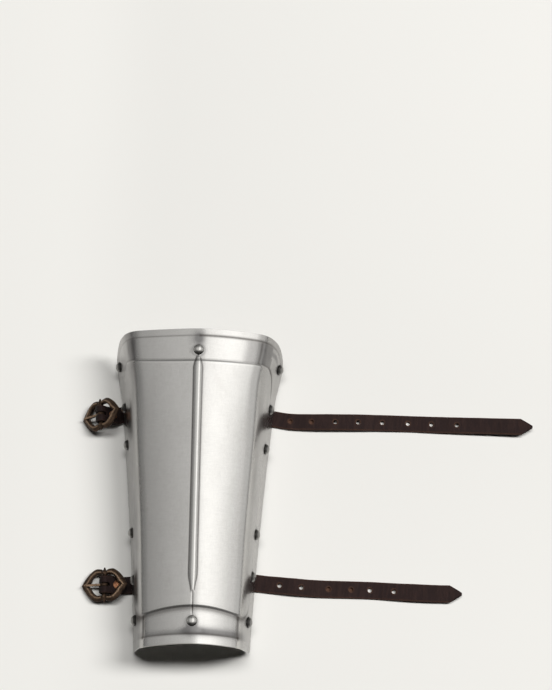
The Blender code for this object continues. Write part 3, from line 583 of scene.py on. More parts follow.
def make_plate():
    """Rows run between the rims and follow the panel's ends; columns are close at the rib and borders."""
    half_step, middle = 1.6 * MM, 120 * MM
    knots = (PANEL_FOOT - half_step, PANEL_FOOT + half_step, middle)
    knots += (PLATE_LENGTH - PANEL_TOP - half_step, PLATE_LENGTH - PANEL_TOP + half_step)
    knots = np.array((0, *knots, PLATE_LENGTH))
    rows = ((8, 18), (23, 16), (33, 26), (48, 20), (200, 66), (209, 12), (216, 18), (229, 14), (237, 18))
    nominal = spaced(0, *rows) * MM  # each stretch's end (mm) and its number of rows
    near_ridge = spaced(0, (5 * MM, 14))
    near_edge = spaced(BORDER + 2.6 * MM, (BORDER - 2.6 * MM, 13), (0, 15))
    girth = half_girth(nominal)[:, None]
    share_near, share_edge = near_ridge / girth, 1 - near_edge / girth
    between = share_near[:, -1:] + (share_edge[:, :1] - share_near[:, -1:]) * np.linspace(0, 1, 42)[1:-1]
    half = np.hstack([share_near, between, share_edge])
    share = np.hstack([-half[:, :0:-1], half])
    inward = (1 - np.abs(share)) * girth
    out = section_at(nominal[:, None], share)[0]
    foot = panel_foot(out) + corner_cut(inward - BORDER, PANEL_FOOT_CORNER)
    top = panel_top(share, out) - corner_cut(inward - BORDER, PANEL_CORNER)
    lines = [wrist_rim(out, inward), foot - half_step, foot + half_step, np.full_like(foot, middle)]
    lines = np.array([*lines, top - half_step, top + half_step, elbow_rim(share, out, inward)])
    k = np.clip(np.searchsorted(knots, nominal, side="right") - 1, 0, len(knots) - 2)
    part = ((nominal - knots[k]) / (knots[k + 1] - knots[k]))[:, None]
    row = np.arange(len(nominal))
    station = lines[k, row] * (1 - part) + lines[k + 1, row] * part

    lift, *shades = worked(station, share)
    bare, normal = bare_point(station, share), bare_normal(station, share)
    outer = bare + normal * lift[..., None]
    inner = bare + normal * (lift - STEEL)[..., None]
    loop, rings = rolled_rim(outer, inner)
    count, under = share.size, len(loop)
    faces = grid_faces(*share.shape)
    levels = np.vstack([loop, 2 * count + np.arange(3 * under).reshape(3, under), loop + count])
    nxt = np.roll(levels, -1, axis=1)
    rim = np.stack([levels[:-1], levels[1:], nxt[1:], nxt[:-1]], -1).reshape(-1, 4)
    points = np.vstack([part.reshape(-1, 3) for part in (outer, inner, rings)])
    # Each value on the outer face comes from the work; on the inner face and on the rim it is even. Painted
    # shade darkens the inner face a little, and a painted highlight brightens the rim.
    elsewhere = (("painted_shade", 0, 0), ("painted_highlight", 0, 0.6), ("painted_shade_patches", 0.25, 0))
    values = {}
    for shade, (key, within, on_rim) in zip(shades, elsewhere):
        values[key] = np.concatenate([shade.ravel(), np.full(count, within), np.full(3 * under, on_rim)])
    every = np.vstack([faces, faces[:, ::-1] + count, rim])
    return new_piece("plate_shell", points, every, steel, values=values)


plate = make_plate()
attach(plate, "plate")
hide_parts("vambrace_plate")

# ---------------- the rivets
# Solid steel rivets with satin domed heads. Ten stand on the plate alone and four also hold the
# leather inside it; each shank is closed over in a flat burr.
HEAD_RADIUS = 4 * MM
HEAD_HEIGHT = 3 * MM
SHANK_RADIUS = 1.7 * MM
GAP = 0.3 * MM
LEATHER = 2.2 * MM
BURR_RADIUS = 2.7 * MM
BURR_HEIGHT = 0.9 * MM
HEAD_SKIRT = 0.7 * MM  # how far a head reaches below the point that it sits on
TURNING_STEPS = 28
SIDE_HEAD_SHADE = 0.5  # how far painted shade darkens the side heads all over, and how much more at the upper side of their feet
SIDE_PAINTED_SHADE = 0.45
RIDGE_PAINTED_SHADE = 0.85  # how far painted shade darkens the ridge rivets towards the wrist
TILT = 0.2  # the side heads are set a little upwards of square to the wall

place, finish = new_material("rivet_steel")
file_marks = place.noise(1500.0, 3.0)
dull = place.noise(260.0, 3.0)
painted_head_shade = place.carried("painted_shade")
head_metal = dull.blend((0.70, 0.69, 0.67), (0.50, 0.49, 0.47))
# Painted shade: the carried value darkens each head's foot and one side nearly to black.
head_metal = painted_head_shade.blend(head_metal, (0.03, 0.028, 0.026))
rivet_steel = finish(
    bump=file_marks * 0.5 + dull,
    distance=0.06 * MM,
    Base_Color=head_metal,
    Roughness=0.17 + dull * 0.14 + painted_head_shade * 0.3,
    Metallic=1.0,
)


def full_turn(steps):
    """Evenly spread angles round a circle."""
    return np.arange(steps) * 2 * math.pi / steps


def turned(name, profile, place_at, direction, material, steps=TURNING_STEPS):
    """A profile of (radius, height) turned about a direction: radius times a circle, closed at its poles."""
    z = unit(np.array(direction))
    x = unit(np.cross((0, 1, 0), z))
    y = np.cross(z, x)
    angles = full_turn(steps)
    circle = np.cos(angles)[:, None] * x + np.sin(angles)[:, None] * y
    radius, height_at = np.array(profile[1:-1]).T
    rings = radius[:, None, None] * circle + height_at[:, None, None] * z
    points = np.vstack([profile[0][1] * z, rings.reshape(-1, 3), profile[-1][1] * z]) + place_at
    sides = grid_faces(len(radius), steps, wrap=True)[:, ::-1] + 1
    k, last = np.arange(steps), len(points) - 1
    n = np.roll(k, -1)
    poles = np.array([[0 * k, 1 + k, 1 + n], [0 * k + last, last - steps + n, last - steps + k]])
    faces = sides.tolist() + poles.transpose(2, 0, 1).reshape(-1, 3).tolist()
    return new_piece(name, points, faces, material)


def points_of(made):
    co = np.empty(len(made.data.vertices) * 3, np.float32)
    made.data.vertices.foreach_get("co", co)
    return co.reshape(-1, 3)


def plate_point(station, share):
    """A point of the worked plate: the bare surface's, lifted along its normal."""
    return bare_point(station, share) + bare_normal(station, share) * worked(station, share)[0][..., None]


def rivet(name, station, share, direction, grip):
    """A dome whose height falls as the cosine of a quarter turn, a shank, and a flat burr under the grip."""
    turn = np.radians(np.linspace(0, 90, 10))
    height_at = HEAD_HEIGHT * (0.06 + 0.94 * np.cos(turn) ** 1.15)
    dome = list(zip(HEAD_RADIUS * np.sin(turn) ** 0.92, height_at))
    under = -grip - GAP
    lower = [
        (HEAD_RADIUS * 0.97, -HEAD_SKIRT),
        (SHANK_RADIUS, -HEAD_SKIRT),
        (SHANK_RADIUS, under),
        (BURR_RADIUS * 0.85, under),
        (BURR_RADIUS, under - BURR_HEIGHT * 0.35),
        (BURR_RADIUS * 0.92, under - BURR_HEIGHT * 0.75),
        (BURR_RADIUS * 0.6, under - BURR_HEIGHT),
        (0, under - BURR_HEIGHT),
    ]
    place_at = plate_point(np.array([station]), np.array([share]))[0]
    made = turned(name + "_turned", dome + lower, place_at, direction, rivet_steel)

    # Painted shade rings the foot. On a side head it is thickest above, and on a ridge rivet towards the
    # wrist.
    head_shade = np.zeros(len(dome + lower))
    head_shade[len(dome) - 3 : len(dome) + 3] = (0.15, 0.5, 0.9, 1, 1, 1)
    head_shade = np.concatenate([head_shade[:1], np.repeat(head_shade[1:-1], TURNING_STEPS), head_shade[-1:]])
    z = unit(np.array(direction))
    out = (points_of(made) - place_at) / HEAD_RADIUS
    away = np.linalg.norm(np.cross(out, z), axis=1)
    if abs(z[2]) < 0.7:
        head_shade += SIDE_HEAD_SHADE + SIDE_PAINTED_SHADE * smoothstep(1.6 * out[:, 2] - 0.3) * smoothstep(away - 0.45, 0.3)
    else:
        head_shade += RIDGE_PAINTED_SHADE * smoothstep(-2.0 * out[:, 1] - 0.3) * smoothstep(away - 0.25, 0.35)
    carry(made.data, "painted_shade", np.clip(head_shade, 0, 1))
    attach(made, "plate")
    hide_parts(name)


rivet("ridge_rivet_elbow", ELBOW_RIVET_STATION, 0.0, (0, 0, 1), STEEL)
rivet("ridge_rivet_wrist", WRIST_RIVET_STATION, 0.0, (0, 0, 1), STEEL)
for rivet_name, left, right in SIDE_RIVETS:
    for side, hand, at in ((-1, "left", left * MM), (1, "right", right * MM)):
        rivet_share = side * (1 - SIDE_RIVET_RISE / half_girth(at))
        normal = bare_normal(np.array([at]), np.array([rivet_share]))[0]
        grip = STEEL + (GAP + LEATHER if "strap" in rivet_name else 0)
        rivet("%s_%s" % (rivet_name, hand), at, rivet_share, normal + np.array((0, 0, TILT)), grip)

# ---------------- the plain straps
# Two strips of dark brown leather with punched holes and pointed ends. Each is riveted inside the
# right wall, turns under the plate's edge and lies out along the floor.
STRAP_WIDTH = 13 * MM
STRAP_REACH_UP = 19 * MM
HOLE_RADIUS = 1.5 * MM
POINT_LENGTH = 9 * MM
BEND_RADIUS = 2.1 * MM
LONG_STRAP = (  # distance out from the axis, station, lift off the floor (mm)
    (66, 181.1, 0.3), (72, 180.4, 0.9), (85, 180.0, 1.8), (100, 180.0, 2.2),
    (118, 180.1, 1.8), (140, 180.1, 0.8), (165, 179.7, 0.0), (182, 179.1, 0.4),
    (203, 178.5, 1.4), (225, 178.0, 2.2), (243, 177.5, 2.8), (259.5, 177.1, 3.2),
)  # fmt: skip
SHORT_STRAP = (
    (54, 52.0, 0.2), (62, 51.3, 0.8), (72, 50.4, 1.3), (86, 49.4, 0.6),
    (100, 48.9, 0.0), (118, 48.6, 0.0), (134, 48.2, 0.0), (150, 47.3, 0.8),
    (166, 46.6, 1.6), (182, 46.1, 1.4), (200.3, 45.9, 1.6),
)  # fmt: skip
LONG_HOLES = (70.3, 86.9, 105.5, 123.3, 142.4, 162.5, 180.8, 200.7)  # mm out from the axis
SHORT_HOLES = (63.0, 79.4, 99.9, 117.0, 131.1, 149.2)
# Radius and height (mm) of what the punch takes out: a waisted hole, or a dimple whose closed floor stands in
# for shade under the hole.
PUNCH_MOUTH = ((0, 5), (2.2, 5), (2.2, 1.35), (1.65, 0.8), (1.5, 0))
PUNCHED = (*PUNCH_MOUTH, (1.65, -0.8), (2.2, -1.35), (2.2, -5), (0, -5))
SHADE_DIMPLE = (*PUNCH_MOUTH, (1.2, -0.55), (0, -0.7))
EDGE_ROUNDING = 0.8 * MM


def through_points(rows, count):
    """A smooth curve through the rows, as count evenly spread rows: Catmull-Rom's cubic between each pair."""
    rows = np.asarray(rows, float)
    padded = np.vstack([2 * rows[0] - rows[1], rows, 2 * rows[-1] - rows[-2]])
    place_on = np.linspace(0, len(rows) - 1 - 1e-9, count)
    i = place_on.astype(int)
    f = (place_on - i)[:, None]
    a, b, c, d = (padded[i + k] for k in range(4))
    return 0.5 * (2 * b + (c - a) * f + (2 * a - 5 * b + 4 * c - d) * f**2 + (3 * b - a - 3 * c + d) * f**3)


def eased(x, knots, values):
    """Values between knots, level at each knot, so that a flat stretch stays flat."""
    i = np.clip(np.searchsorted(knots, x, side="right") - 1, 0, len(knots) - 2)
    f = smoothstep(x - knots[i], knots[i + 1] - knots[i])
    return values[i] + (values[i + 1] - values[i]) * f


def wall_side(station, side):
    """Direction of a strap's width where it lies on the wall: level, and along the plate's lower edge."""
    ends = bare_point(np.array([station - MM, station + MM]), np.array([side, side]))
    return unit((ends[1] - ends[0]) * (1, 1, 0))


def down_the_wall(station, side, lean, rise):
    """Centre line of leather inside the wall, down to the plate's edge and round under it in an arc."""
    below = STEEL + GAP + LEATHER / 2
    up = np.array((1, 0.68, 0.36, 0.15))
    at = station + lean * (1 - up)
    share = side * (1 - up * STRAP_REACH_UP / half_girth(at))
    wall = bare_point(at, share) - bare_normal(at, share) * below
    outward = np.cross(wall_side(station + lean, side), (0, 0, side))
    low, edge = np.array([station + lean]), np.array([float(side)])
    middle = (bare_point(low, edge) - bare_normal(low, edge) * STEEL)[0]
    middle += outward * (BEND_RADIUS - GAP - LEATHER / 2)
    middle[2] = EDGE_HEIGHT
    turn = np.linspace(-math.radians(SLOPE_KNOTS[-1] - 90), math.pi / 2 + rise, 5)[:, None]
    around = middle - BEND_RADIUS * (outward * np.cos(turn) + np.array([0, 0, 1]) * np.sin(turn))
    return np.vstack([wall, around])


def led_across(start, rest, start_side, rest_sides):
    """Two stretches of a strap joined by a Hermite cubic, the direction of the width turning over it.

    It leaves the first along the tangent of a parabola through that stretch's last three points.
    """
    reach = np.linalg.norm(rest[0] - start[-1])
    leave, arrive = unit(3 * start[-1] - 4 * start[-2] + start[-3]) * reach, unit(rest[1] - rest[0]) * reach
    f = np.linspace(0, 1, 6)[1:-1, None]
    link = start[-1] * (2 * f**3 - 3 * f**2 + 1) + rest[0] * (3 * f**2 - 2 * f**3)
    link += leave * (f**3 - 2 * f**2 + f) + arrive * (f**3 - f**2)
    turned_side = start_side * (1 - smoothstep(f)) + rest_sides[0] * smoothstep(f)
    sides = np.vstack([np.tile(start_side, (len(start), 1)), turned_side, rest_sides])
    return np.vstack([start, link, rest]), sides


def ripple(along, across, seed, amount):
    """Slow hand-made unevenness: a few sine waves of both directions, with phases from the seed."""
    phases = np.random.default_rng(seed).uniform(0, 2 * math.pi, 6)
    waves = np.sin(along * 90 + phases[0] + 60 * across) + 0.6 * np.sin(along * 210 + phases[1] - 90 * across)
    waves += 0.4 * np.sin(along * 430 + phases[2] + 150 * across) + 0.3 * np.sin(along * 760 + phases[3])
    return amount * waves / 2.3


def tube_faces(rows, columns):
    """A tube's quads, and a face over each of its ends."""
    caps = [list(range(columns))[::-1], list(range((rows - 1) * columns, rows * columns))]
    return grid_faces(rows, columns, wrap=True).tolist() + caps


def strip(name, centres, sides, material, seed, point_length=None):
    """Leather as a rounded oblong carried along a centre line.

    The oblong's half width narrows to a blunt point over the last stretch, and its faces are slightly
    crowned and uneven. UV holds the distance along the strap and across it, in metres.
    """
    steps = np.linalg.norm(np.diff(centres, axis=0), axis=1)
    travelled = np.concatenate([[0], np.cumsum(steps)])
    count = int(travelled[-1] / (0.75 * MM))
    even = np.linspace(0, travelled[-1], count)
    slots = np.interp(even, travelled, np.arange(len(centres))) / (len(centres) - 1)
    dense = 40 * len(centres)
    pick = np.clip((slots * (dense - 1)).round().astype(int), 0, dense - 1)
    centre, side_at = through_points(centres, dense)[pick], through_points(sides, dense)[pick]
    along = unit(np.gradient(centre, axis=0))
    side_at = unit(side_at - along * (side_at * along).sum(1, keepdims=True))
    normal_at = np.cross(along, side_at)

    half = np.full(count, STRAP_WIDTH / 2)
    if point_length:
        left = np.clip((even[-1] - even) / point_length, 0, 1)
        half *= 0.15 + 0.85 * left**0.92
    # Half the outline: the upper face, a rounded edge, the middle of the side and a rounded edge. The
    # other half is the same turned round. The cuts are how far a point stands back from the square corner.
    arc = np.radians(np.linspace(0, 90, 4))
    flat, corner = np.linspace(-1, 1, 15)[1:-1], np.ones(4)
    u, v = np.concatenate([flat, corner, [1], corner]), np.concatenate([0 * flat + 1, corner, [0], -corner])
    u_cut = np.tile(np.concatenate([0 * flat, 1 - np.sin(arc), [0], 1 - np.cos(arc)]), 2)
    v_cut = np.tile(np.concatenate([0 * flat, 1 - np.cos(arc), [0], 1 - np.sin(arc)]), 2)
    u, v = np.concatenate([u, -u]), np.concatenate([v, -v])
    tapered = EDGE_ROUNDING * np.minimum(1, half[:, None] / (2 * EDGE_ROUNDING))
    across = u * (half[:, None] - tapered * u_cut)
    wobble = 1 + ripple(even, 0 * even, seed, 0.012)[:, None]
    uneven = ripple(even[:, None], across, seed + 1, 0.07 * MM) - 0.05 * MM
    thick = (LEATHER / 2 - EDGE_ROUNDING * v_cut * 0.9) * v + np.sign(v) * uneven
    points = centre[:, None] + side_at[:, None] * (across * wobble)[..., None]
    points += normal_at[:, None] * thick[..., None]
    faces = [face[::-1] for face in tube_faces(*across.shape)]
    made = new_piece(name, points, faces, material, 60)
    layer = made.data.uv_layers.new(name="strap")
    uv = np.stack([np.broadcast_to(even[:, None], across.shape), across], -1).reshape(-1, 2)
    corners_at = np.empty(len(made.data.loops), np.int32)
    made.data.loops.foreach_get("vertex_index", corners_at)
    layer.data.foreach_set("uv", uv[corners_at].ravel().astype(np.float32))
    return made


def cut(made, cutters, operation="DIFFERENCE", solver="MANIFOLD"):
    """Cut others away from a piece, or join them to it, in its mesh.

    The exact solver tears the punched straps and drops the wear-and-highlight value of what is joined
    on, so only the slots are cut with it.
    """
    for cutter in cutters:
        step = made.modifiers.new("Cut", "BOOLEAN")
        step.operation, step.solver, step.object = operation, solver, cutter
    mesh = bpy.data.meshes.new_from_object(made.evaluated_get(bpy.context.evaluated_depsgraph_get()))
    made.modifiers.clear()
    old, made.data = made.data, mesh
    bpy.data.meshes.remove(old)
    for cutter in cutters:
        bpy.data.objects.remove(cutter)


place, finish = new_material("brown_leather")
strap_map = place.node("ShaderNodeUVMap", {"uv_map": "strap"})
edge_wear = strap_map.math("ABSOLUTE", strap_map.part("Y")).fade(5.3 * MM, 6.6 * MM)
pores = place.noise(1500.0, 3.0, 0.6)
wrinkle = strap_map.stretched(1.0, 0.22, 1.0).noise(620.0, 4.0, 0.6, 0.4)
deep_wrinkle = strap_map.stretched(1.0, 0.16, 1.0).noise(230.0, 3.0, 0.6, 0.8)
patches = place.noise(70.0, 4.0, 0.6)
rim, oiled = place.carried("rim"), place.carried("oiled")
hide = patches.blend((0.014, 0.0085, 0.0080), (0.027, 0.0150, 0.0135))
hide = (wrinkle.fade(0.35, 0.75) * 0.4).blend(hide, (0.042, 0.024, 0.020))
hide = (deep_wrinkle.fade(0.62, 0.40) * 0.45).blend(hide, (0.012, 0.0075, 0.0078))
scuff = pores.fade(0.35, 0.65)
hide = (edge_wear * (0.15 + scuff * 0.45)).blend(hide, (0.13, 0.062, 0.040))
hide = (rim * (0.35 + scuff * 0.35)).blend(hide, (0.14, 0.072, 0.046))
# The buckle straps' leather is made darker.
hide = (oiled * 0.6).blend(hide, (0.0075, 0.0045, 0.0042))
leather = finish(
    bump=wrinkle * 0.8 + deep_wrinkle * 1.4 + pores * 0.4,
    distance=0.22 * MM,
    Base_Color=hide,
    Roughness=0.46 + wrinkle * 0.16 + edge_wear * 0.1 - patches * 0.06,
    Specular_IOR_Level=0.14,
)


def plain_strap(name, station, rows, holes, shaded_holes, seed):
    """Down inside the right wall, under its edge, then through the rows of the table on the floor.

    Where shade lies under a hole, it is a dimple that doesn't go right through, its leather standing in for
    the shade.
    """
    rows = np.array(rows)
    lean = 0.35 * (rows[0][1] * MM - station)
    top = station + lean
    start = through_points(down_the_wall(top, 1, lean, 0.0), 14)
    floor_line = (rows + (0, 0, LEATHER / 2 / MM)) * MM + (AXIS_X, WRIST_Y, 0)
    far = through_points(floor_line, 2 * len(floor_line) + 2)
    far[:, 2] = eased(far[:, 0], floor_line[:, 0], floor_line[:, 2])
    plan = np.gradient(far, axis=0)
    over = unit(np.stack([-plan[:, 1], plan[:, 0], 0 * plan[:, 0]], -1))
    centres, sides = led_across(start, far, wall_side(top, 1), over)
    made = strip(name + "_leather", centres, sides, leather, seed, POINT_LENGTH)
    places, punches = [], []
    for number, out in enumerate(holes):
        places.append(np.array([np.interp(AXIS_X + out * MM, far[:, 0], far[:, k]) for k in range(3)]))
        profile = np.array(SHADE_DIMPLE if number in shaded_holes else PUNCHED) * MM
        punches.append(turned("punch", profile, places[-1], (0, 0, 1), leather, 20))
    cut(made, punches)
    # A value on each point that is 1 at a hole's rim and falls off as a bell curve.
    gap = np.linalg.norm(points_of(made)[:, None] - np.array(places), axis=2).min(1) - HOLE_RADIUS
    carry(made.data, "rim", bell(np.maximum(gap - 0.3 * MM, 0), 0.55 * MM))
    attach(made, "plate")
    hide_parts(name)


plain_strap("long_strap", 186.2 * MM, LONG_STRAP, LONG_HOLES, (0, 1), 3)
plain_strap("short_strap", 55.2 * MM, SHORT_STRAP, SHORT_HOLES, (2, 3), 11)

# ---------------- the buckle straps
# Two short strips of the same leather. Each is riveted inside the left wall, comes out under the edge,
# goes round its buckle's bar through a slot for the prong, and is riveted back onto itself.
BAR_RADIUS = 1.5 * MM
SLOT_HALF_WIDTH = 1.5 * MM
SLOT_REACH = 5 * MM  # from the slot's middle to the centre of its round end
SLOT_MIDDLE = -2.7 * MM  # its place along the fold
FOLD_LENGTH = 13 * MM
FOLD_CLOSES = 6.5 * MM
FOLD_RIVET = 9.6 * MM
BUCKLES = {  # bar centre (mm): out, station, height; heading, dip, roll (degrees); strap's station, its lean
    "elbow": ((-77.4, 182.0, 11.7), (189.5, 34.0, 7.0), 186.6 * MM, -2.0 * MM),
    "wrist": ((-68.6, 49.6, 6.5), (181.5, 14.5, 0.0), 52.0 * MM, -1.5 * MM),
}


def buckle_axes(key):
    """Place and axes of a buckle: x outward along the frame, y along the bar, z up from its face."""
    (out, station, height_at), (heading_at, dip, roll), _, _ = BUCKLES[key]
    place_at = Vector((AXIS_X + out * MM, WRIST_Y + station * MM, height_at * MM))
    turn = Matrix.Rotation(math.radians(heading_at), 4, "Z") @ Matrix.Rotation(math.radians(dip), 4, "Y")
    return Matrix.Translation(place_at) @ turn @ Matrix.Rotation(math.radians(roll), 4, "X")


def fold_axes(key):
    """Axes of the leather fold: x from the bar to the plate's edge, y along the bar, z up."""
    at = buckle_axes(key)
    bar, centre = at.to_3x3().col[1], at.translation
    station, lean = BUCKLES[key][2:]
    toward = Vector(down_the_wall(station, -1, lean, 0.0)[-1]) - centre
    toward = (toward - bar * toward.dot(bar)).normalized()
    up = toward.cross(-bar if toward.cross(-bar).z > 0 else bar)
    return Matrix.Translation(centre) @ Matrix((toward, up.cross(toward), up)).transposed().to_4x4()


def placed(points, axes):
    """Points carried from a buckle's or fold's own axes into the frame of the solids."""
    axes = np.array(axes)
    return np.asarray(points) @ axes[:3, :3].T + axes[:3, 3]


def buckle_strap(key, seed):
    """Down the left wall, out to the bar, round it in an arc of 200 degrees and back onto itself."""
    fold = fold_axes(key)
    middle = BAR_RADIUS + GAP + LEATHER / 2
    apart = (LEATHER + GAP) / 2
    turns = np.radians(np.linspace(-80, -280, 11))
    loop = np.stack([middle * np.cos(turns), middle * np.sin(turns)], -1)
    half_way = FOLD_CLOSES / 2, (apart + middle) / 2
    lower = ((FOLD_RIVET + 2 * MM, -apart), (FOLD_RIVET - 1 * MM, -apart), (FOLD_CLOSES, -apart))
    upper = ((FOLD_CLOSES, apart), (FOLD_RIVET, apart), (FOLD_LENGTH, apart))
    in_fold = np.vstack([lower, (half_way[0], -half_way[1]), loop, half_way, upper])
    rest = through_points(placed(np.insert(in_fold, 1, 0, axis=1), fold), len(in_fold) + 9)
    station, lean = BUCKLES[key][2:]
    rise = math.asin(-fold.to_3x3().col[0].z)
    start = through_points(down_the_wall(station, -1, lean, rise), 14)
    bar = np.array(fold.to_3x3().col[1])
    wall = wall_side(station, -1)
    bar *= np.sign(bar @ wall)
    centres, sides = led_across(start, rest, wall, np.tile(bar, (len(rest), 1)))
    made = strip("buckle_strap_%s_leather" % key, centres, sides, leather, seed)
    outline = full_turn(24)
    x = SLOT_MIDDLE + np.sign(np.cos(outline).round(6)) * SLOT_REACH + np.cos(outline) * SLOT_HALF_WIDTH
    y = np.sin(outline) * SLOT_HALF_WIDTH
    ends = np.stack([np.stack([x, y, 0 * x + z], -1) for z in (-7 * MM, 7 * MM)])
    slot_cutter = new_piece("slot_cutter", placed(ends, fold), tube_faces(2, 24), leather)
    cut(made, [slot_cutter], solver="EXACT")
    carry(made.data, "oiled", np.ones(len(made.data.vertices)))
    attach(made, "plate")
    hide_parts("buckle_strap_" + key)


buckle_strap("elbow", 21)
buckle_strap("wrist", 34)

# ---------------- the buckles
# Cast bronze frames with two lobes, pointed at the ends and nipped at the waist, where the centre bar
# comes through as a small knop. The colour is an old brown skin, paled along the crests by wear and by a
# painted highlight; the prong's shank has a painted highlight above and painted shade below.
PRONG_LENGTH = 15.4 * MM
PRONG_WIDTH = 2.2 * MM
PRONG_RING = 3.0 * MM
FRAME_HALF_HEIGHT = 2 * MM
FRAME_QUARTER = (  # outer edge x, y; inner edge x, y; height of the crest (mm), from the point to the waist
    (18.2, 0.0, 13.0, 0.0, 1.2),
    (15.3, 4.6, 10.7, 2.0, 1.8),
    (11.4, 9.2, 9.1, 5.0, 2.0),
    (7.0, 12.1, 5.9, 7.7, 2.0),
    (2.6, 11.9, 2.3, 8.0, 2.0),
    (0.0, 11.4, 0.0, 7.3, 2.0),
)
NOTCH_AT = 1.5 * MM  # either side of the collar at the waist
NOTCH_HALF_WIDTH = 0.55 * MM
NOTCH_DEPTH = 0.7 * MM
COLLAR_HALF_WIDTH = 0.7 * MM
COLLAR_RISE = 0.5 * MM
# Radius and height beyond the waist (mm) of the bar's end, from the tip of its knop inwards.
KNOP = ((0, 1.9), (0.45, 1.6), (0.8, 0.8), (1.25, -0.4), (2.25, -1.7), (2.175, -2.9), (1.5, -4.4))
PRONG_SHANK = (  # distance out from the bar, half width, bottom, top (mm)
    (2.2, 1.10, -0.2, 1.9),
    (6.0, 1.05, 0.1, 2.0),
    (11.5, 0.95, 1.0, 2.6),
    (14.4, 0.80, 1.75, 2.9),
    (PRONG_LENGTH / MM, 0.40, 2.0, 2.6),
)

place, finish = new_material("aged_bronze")
wear_and_highlight = place.carried("wear_and_highlight")
pits = place.noise(900.0, 4.0, 0.65)
patina = place.noise(240.0, 4.0, 0.6)
skin = patina.fade(0.3, 0.7).blend((0.028, 0.017, 0.011), (0.095, 0.059, 0.038))
# Paled where the carried value is high: wear and a painted highlight.
pale_wear_and_highlight = wear_and_highlight * (0.35 + pits * 0.9)
skin = pale_wear_and_highlight.fade(0.4, 1.0).blend(skin, (0.44, 0.30, 0.20))
skin = pits.fade(0.42, 0.30).blend(skin, (0.010, 0.008, 0.007))
bronze = finish(
    bump=pits * 1.0 + patina * 1.6,
    distance=0.25 * MM,
    Base_Color=skin,
    Roughness=0.52 - pale_wear_and_highlight * 0.16 + patina * 0.1,
    Metallic=0.85,
)


def section_rows(lines, rounding=0.22):
    """Each corner line of a closed section becomes three: one either side, and the rounded corner."""
    lines = np.array(lines)
    before, after = np.roll(lines, 1, 0), np.roll(lines, -1, 0)
    first, last = lines + (before - lines) * rounding, lines + (after - lines) * rounding
    middle = lines * 0.5 + (first + last) * 0.25
    return np.stack([first, middle, last], 1).reshape(-1, *lines.shape[1:])


def buckle_frame(key):
    """A six-sided section with rounded corners, carried round two lobes; the bar is a turned profile."""
    quarter = through_points(np.array(FRAME_QUARTER) * MM, 36)
    quarter[0, [1, 3]] = 0
    quarter[-1, [0, 2]] = 0
    notch = NOTCH_DEPTH * bell(quarter[:, 0] - NOTCH_AT, NOTCH_HALF_WIDTH)
    collar = COLLAR_RISE * bell(quarter[:, 0], COLLAR_HALF_WIDTH)
    quarter[:, [1, 4]] += (collar - notch)[:, None]
    mirror_y = quarter[-2::-1] * np.array([-1, 1, -1, 1, 1])
    half = np.vstack([quarter, mirror_y])
    ring = np.vstack([half, half[-2:0:-1] * np.array([1, -1, 1, -1, 1])])
    outer, inner, top = ring[:, :2], ring[:, 2:4], ring[:, 4:]
    low = np.full_like(top, -FRAME_HALF_HEIGHT)
    # The six corners: the share of the way from the inner edge to the outer one, and the height.
    corners = ((0.9, low), (1, low + 1.1 * MM), (1, 0 * top + 0.1 * MM))
    corners += ((0.36, top), (0, top - 0.7 * MM), (0, low))
    points = section_rows([np.hstack([inner + (outer - inner) * part, at]) for part, at in corners])
    rows, columns = points.shape[:2]
    faces = grid_faces(rows + 1, columns, wrap=True) % (rows * columns)
    # The rows' wear and painted highlight: the outer edge is paled a little, the crest most, the inner slope
    # less.
    wear_and_highlight_rows = np.zeros((rows, columns))
    wear_and_highlight_rows[5:14] = np.array((0.25, 0.15, 0.12, 0.2, 0.75, 1, 0.75, 0.35, 0.35))[:, None]
    in_notch = bell(np.abs(ring[:, 0]) - NOTCH_AT, NOTCH_HALF_WIDTH)
    wear_and_highlight_values = {"wear_and_highlight": wear_and_highlight_rows * (1 - in_notch) - 0.6 * in_notch}
    axes = buckle_axes(key)
    made = new_piece("buckle_frame_%s_cast" % key, placed(points, axes), faces, bronze, values=wear_and_highlight_values)
    profile = [(radius * MM, (FRAME_QUARTER[-1][1] + up) * MM) for radius, up in KNOP]
    profile += [(radius, -up) for radius, up in profile[::-1]]
    bar = turned("bar", profile, np.array(axes.translation), axes.to_3x3().col[1], bronze, 20)
    # The bar's knop is paled evenly by wear and a painted highlight.
    carry(bar.data, "wear_and_highlight", np.full(len(bar.data.vertices), 0.4))
    cut(made, [bar], "UNION")
    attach(made, "frame_" + key)
    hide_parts("buckle_frame_" + key)


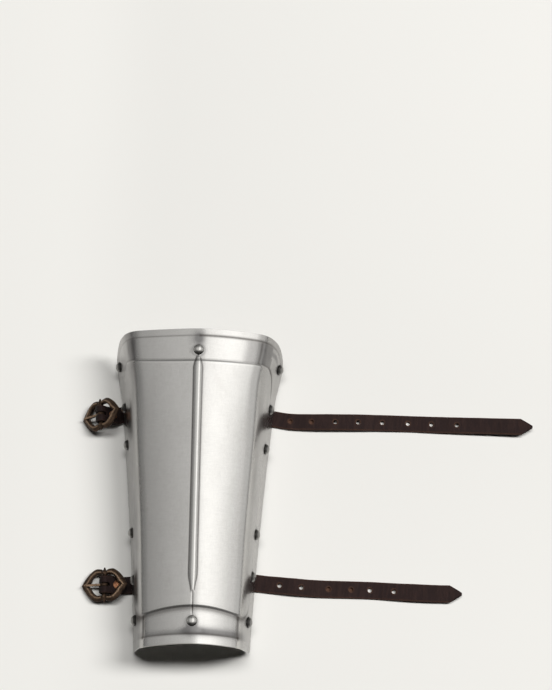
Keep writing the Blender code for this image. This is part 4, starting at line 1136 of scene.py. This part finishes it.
def buckle_prong(key):
    """A ring of square section round the bar, and a shank lofted through rounded oblongs to its tip."""
    inside, outside, half = BAR_RADIUS + GAP, PRONG_RING, PRONG_WIDTH / 2
    angles = full_turn(28)
    corners = ((inside, -half), (outside, -half), (outside, half), (inside, half))
    lines = [np.stack([r * np.cos(angles), 0 * angles + y, r * np.sin(angles)], -1) for r, y in corners]
    points = section_rows(lines, 0.25)
    faces = grid_faces(len(points) + 1, 28, wrap=True)[:, ::-1] % (len(points) * 28)
    axes = buckle_axes(key)
    wear_and_highlight_values = {"wear_and_highlight": np.zeros(points.shape[:2])}
    made = new_piece("buckle_prong_%s_cast" % key, placed(points, axes), faces, bronze, values=wear_and_highlight_values)
    x, wide, bottom, top = through_points(PRONG_SHANK, 22).T * MM
    turn = full_turn(16)
    across, upward = (np.sign(wave) * np.abs(wave) ** 0.6 for wave in (np.cos(turn), np.sin(turn)))
    y = wide[:, None] * across
    z = (top + bottom)[:, None] / 2 + (top - bottom)[:, None] / 2 * upward
    shank_points = np.stack([np.broadcast_to(x[:, None], y.shape), y, z], -1)
    # A painted highlight on the shank's upper side, painted shade on its lower side.
    wear_and_highlight_values = {"wear_and_highlight": np.clip(0.35 + 0.65 * np.broadcast_to(upward, y.shape), 0, 1)}
    shank = new_piece("shank", placed(shank_points, axes), tube_faces(22, 16), bronze, values=wear_and_highlight_values)
    cut(made, [shank], "UNION")
    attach(made, "prong_" + key)
    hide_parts("buckle_prong_" + key)


for buckle in BUCKLES:
    buckle_frame(buckle)
    buckle_prong(buckle)

# ---------------- the copper rivets
# Soft copper rivets with low hammered domes. Each goes through both layers of a buckle strap, beside
# the bar, and is closed over under the lower one, which keeps the fold shut round the bar.

# Radius and height (mm) above the fold's upper face, then radius and depth under its lower face.
COPPER_DOME = ((0, 0.9), (0.9, 0.86), (1.8, 0.7), (2.5, 0.48), (3.0, 0.27), (3.3, 0), (1.2, 0))
COPPER_BURR = ((1.2, 0), (2.3, 0), (2.4, 0.2), (2.1, 0.5), (0, 0.5))

place, finish = new_material("copper")
tarnish = place.noise(420.0, 4.0, 0.6)
hammered = place.noise(700.0, 2.0)
copper_skin = tarnish.fade(0.35, 0.7).blend((0.60, 0.29, 0.155), (0.24, 0.105, 0.06))
copper = finish(
    bump=hammered + tarnish,
    distance=0.12 * MM,
    Base_Color=copper_skin,
    Roughness=0.34 + tarnish * 0.2,
    Metallic=1.0,
)
for buckle in BUCKLES:
    face = LEATHER + GAP * 1.5
    profile = [(r * MM, face + up * MM) for r, up in COPPER_DOME]
    profile += [(r * MM, -face - down * MM) for r, down in COPPER_BURR]
    fold = fold_axes(buckle)
    name = "fold_rivet_" + buckle
    at = fold @ Vector((FOLD_RIVET, 0, 0))
    made = turned(name + "_domed", profile, np.array(at), fold.to_3x3().col[2], copper)
    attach(made, "plate")
    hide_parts(name)
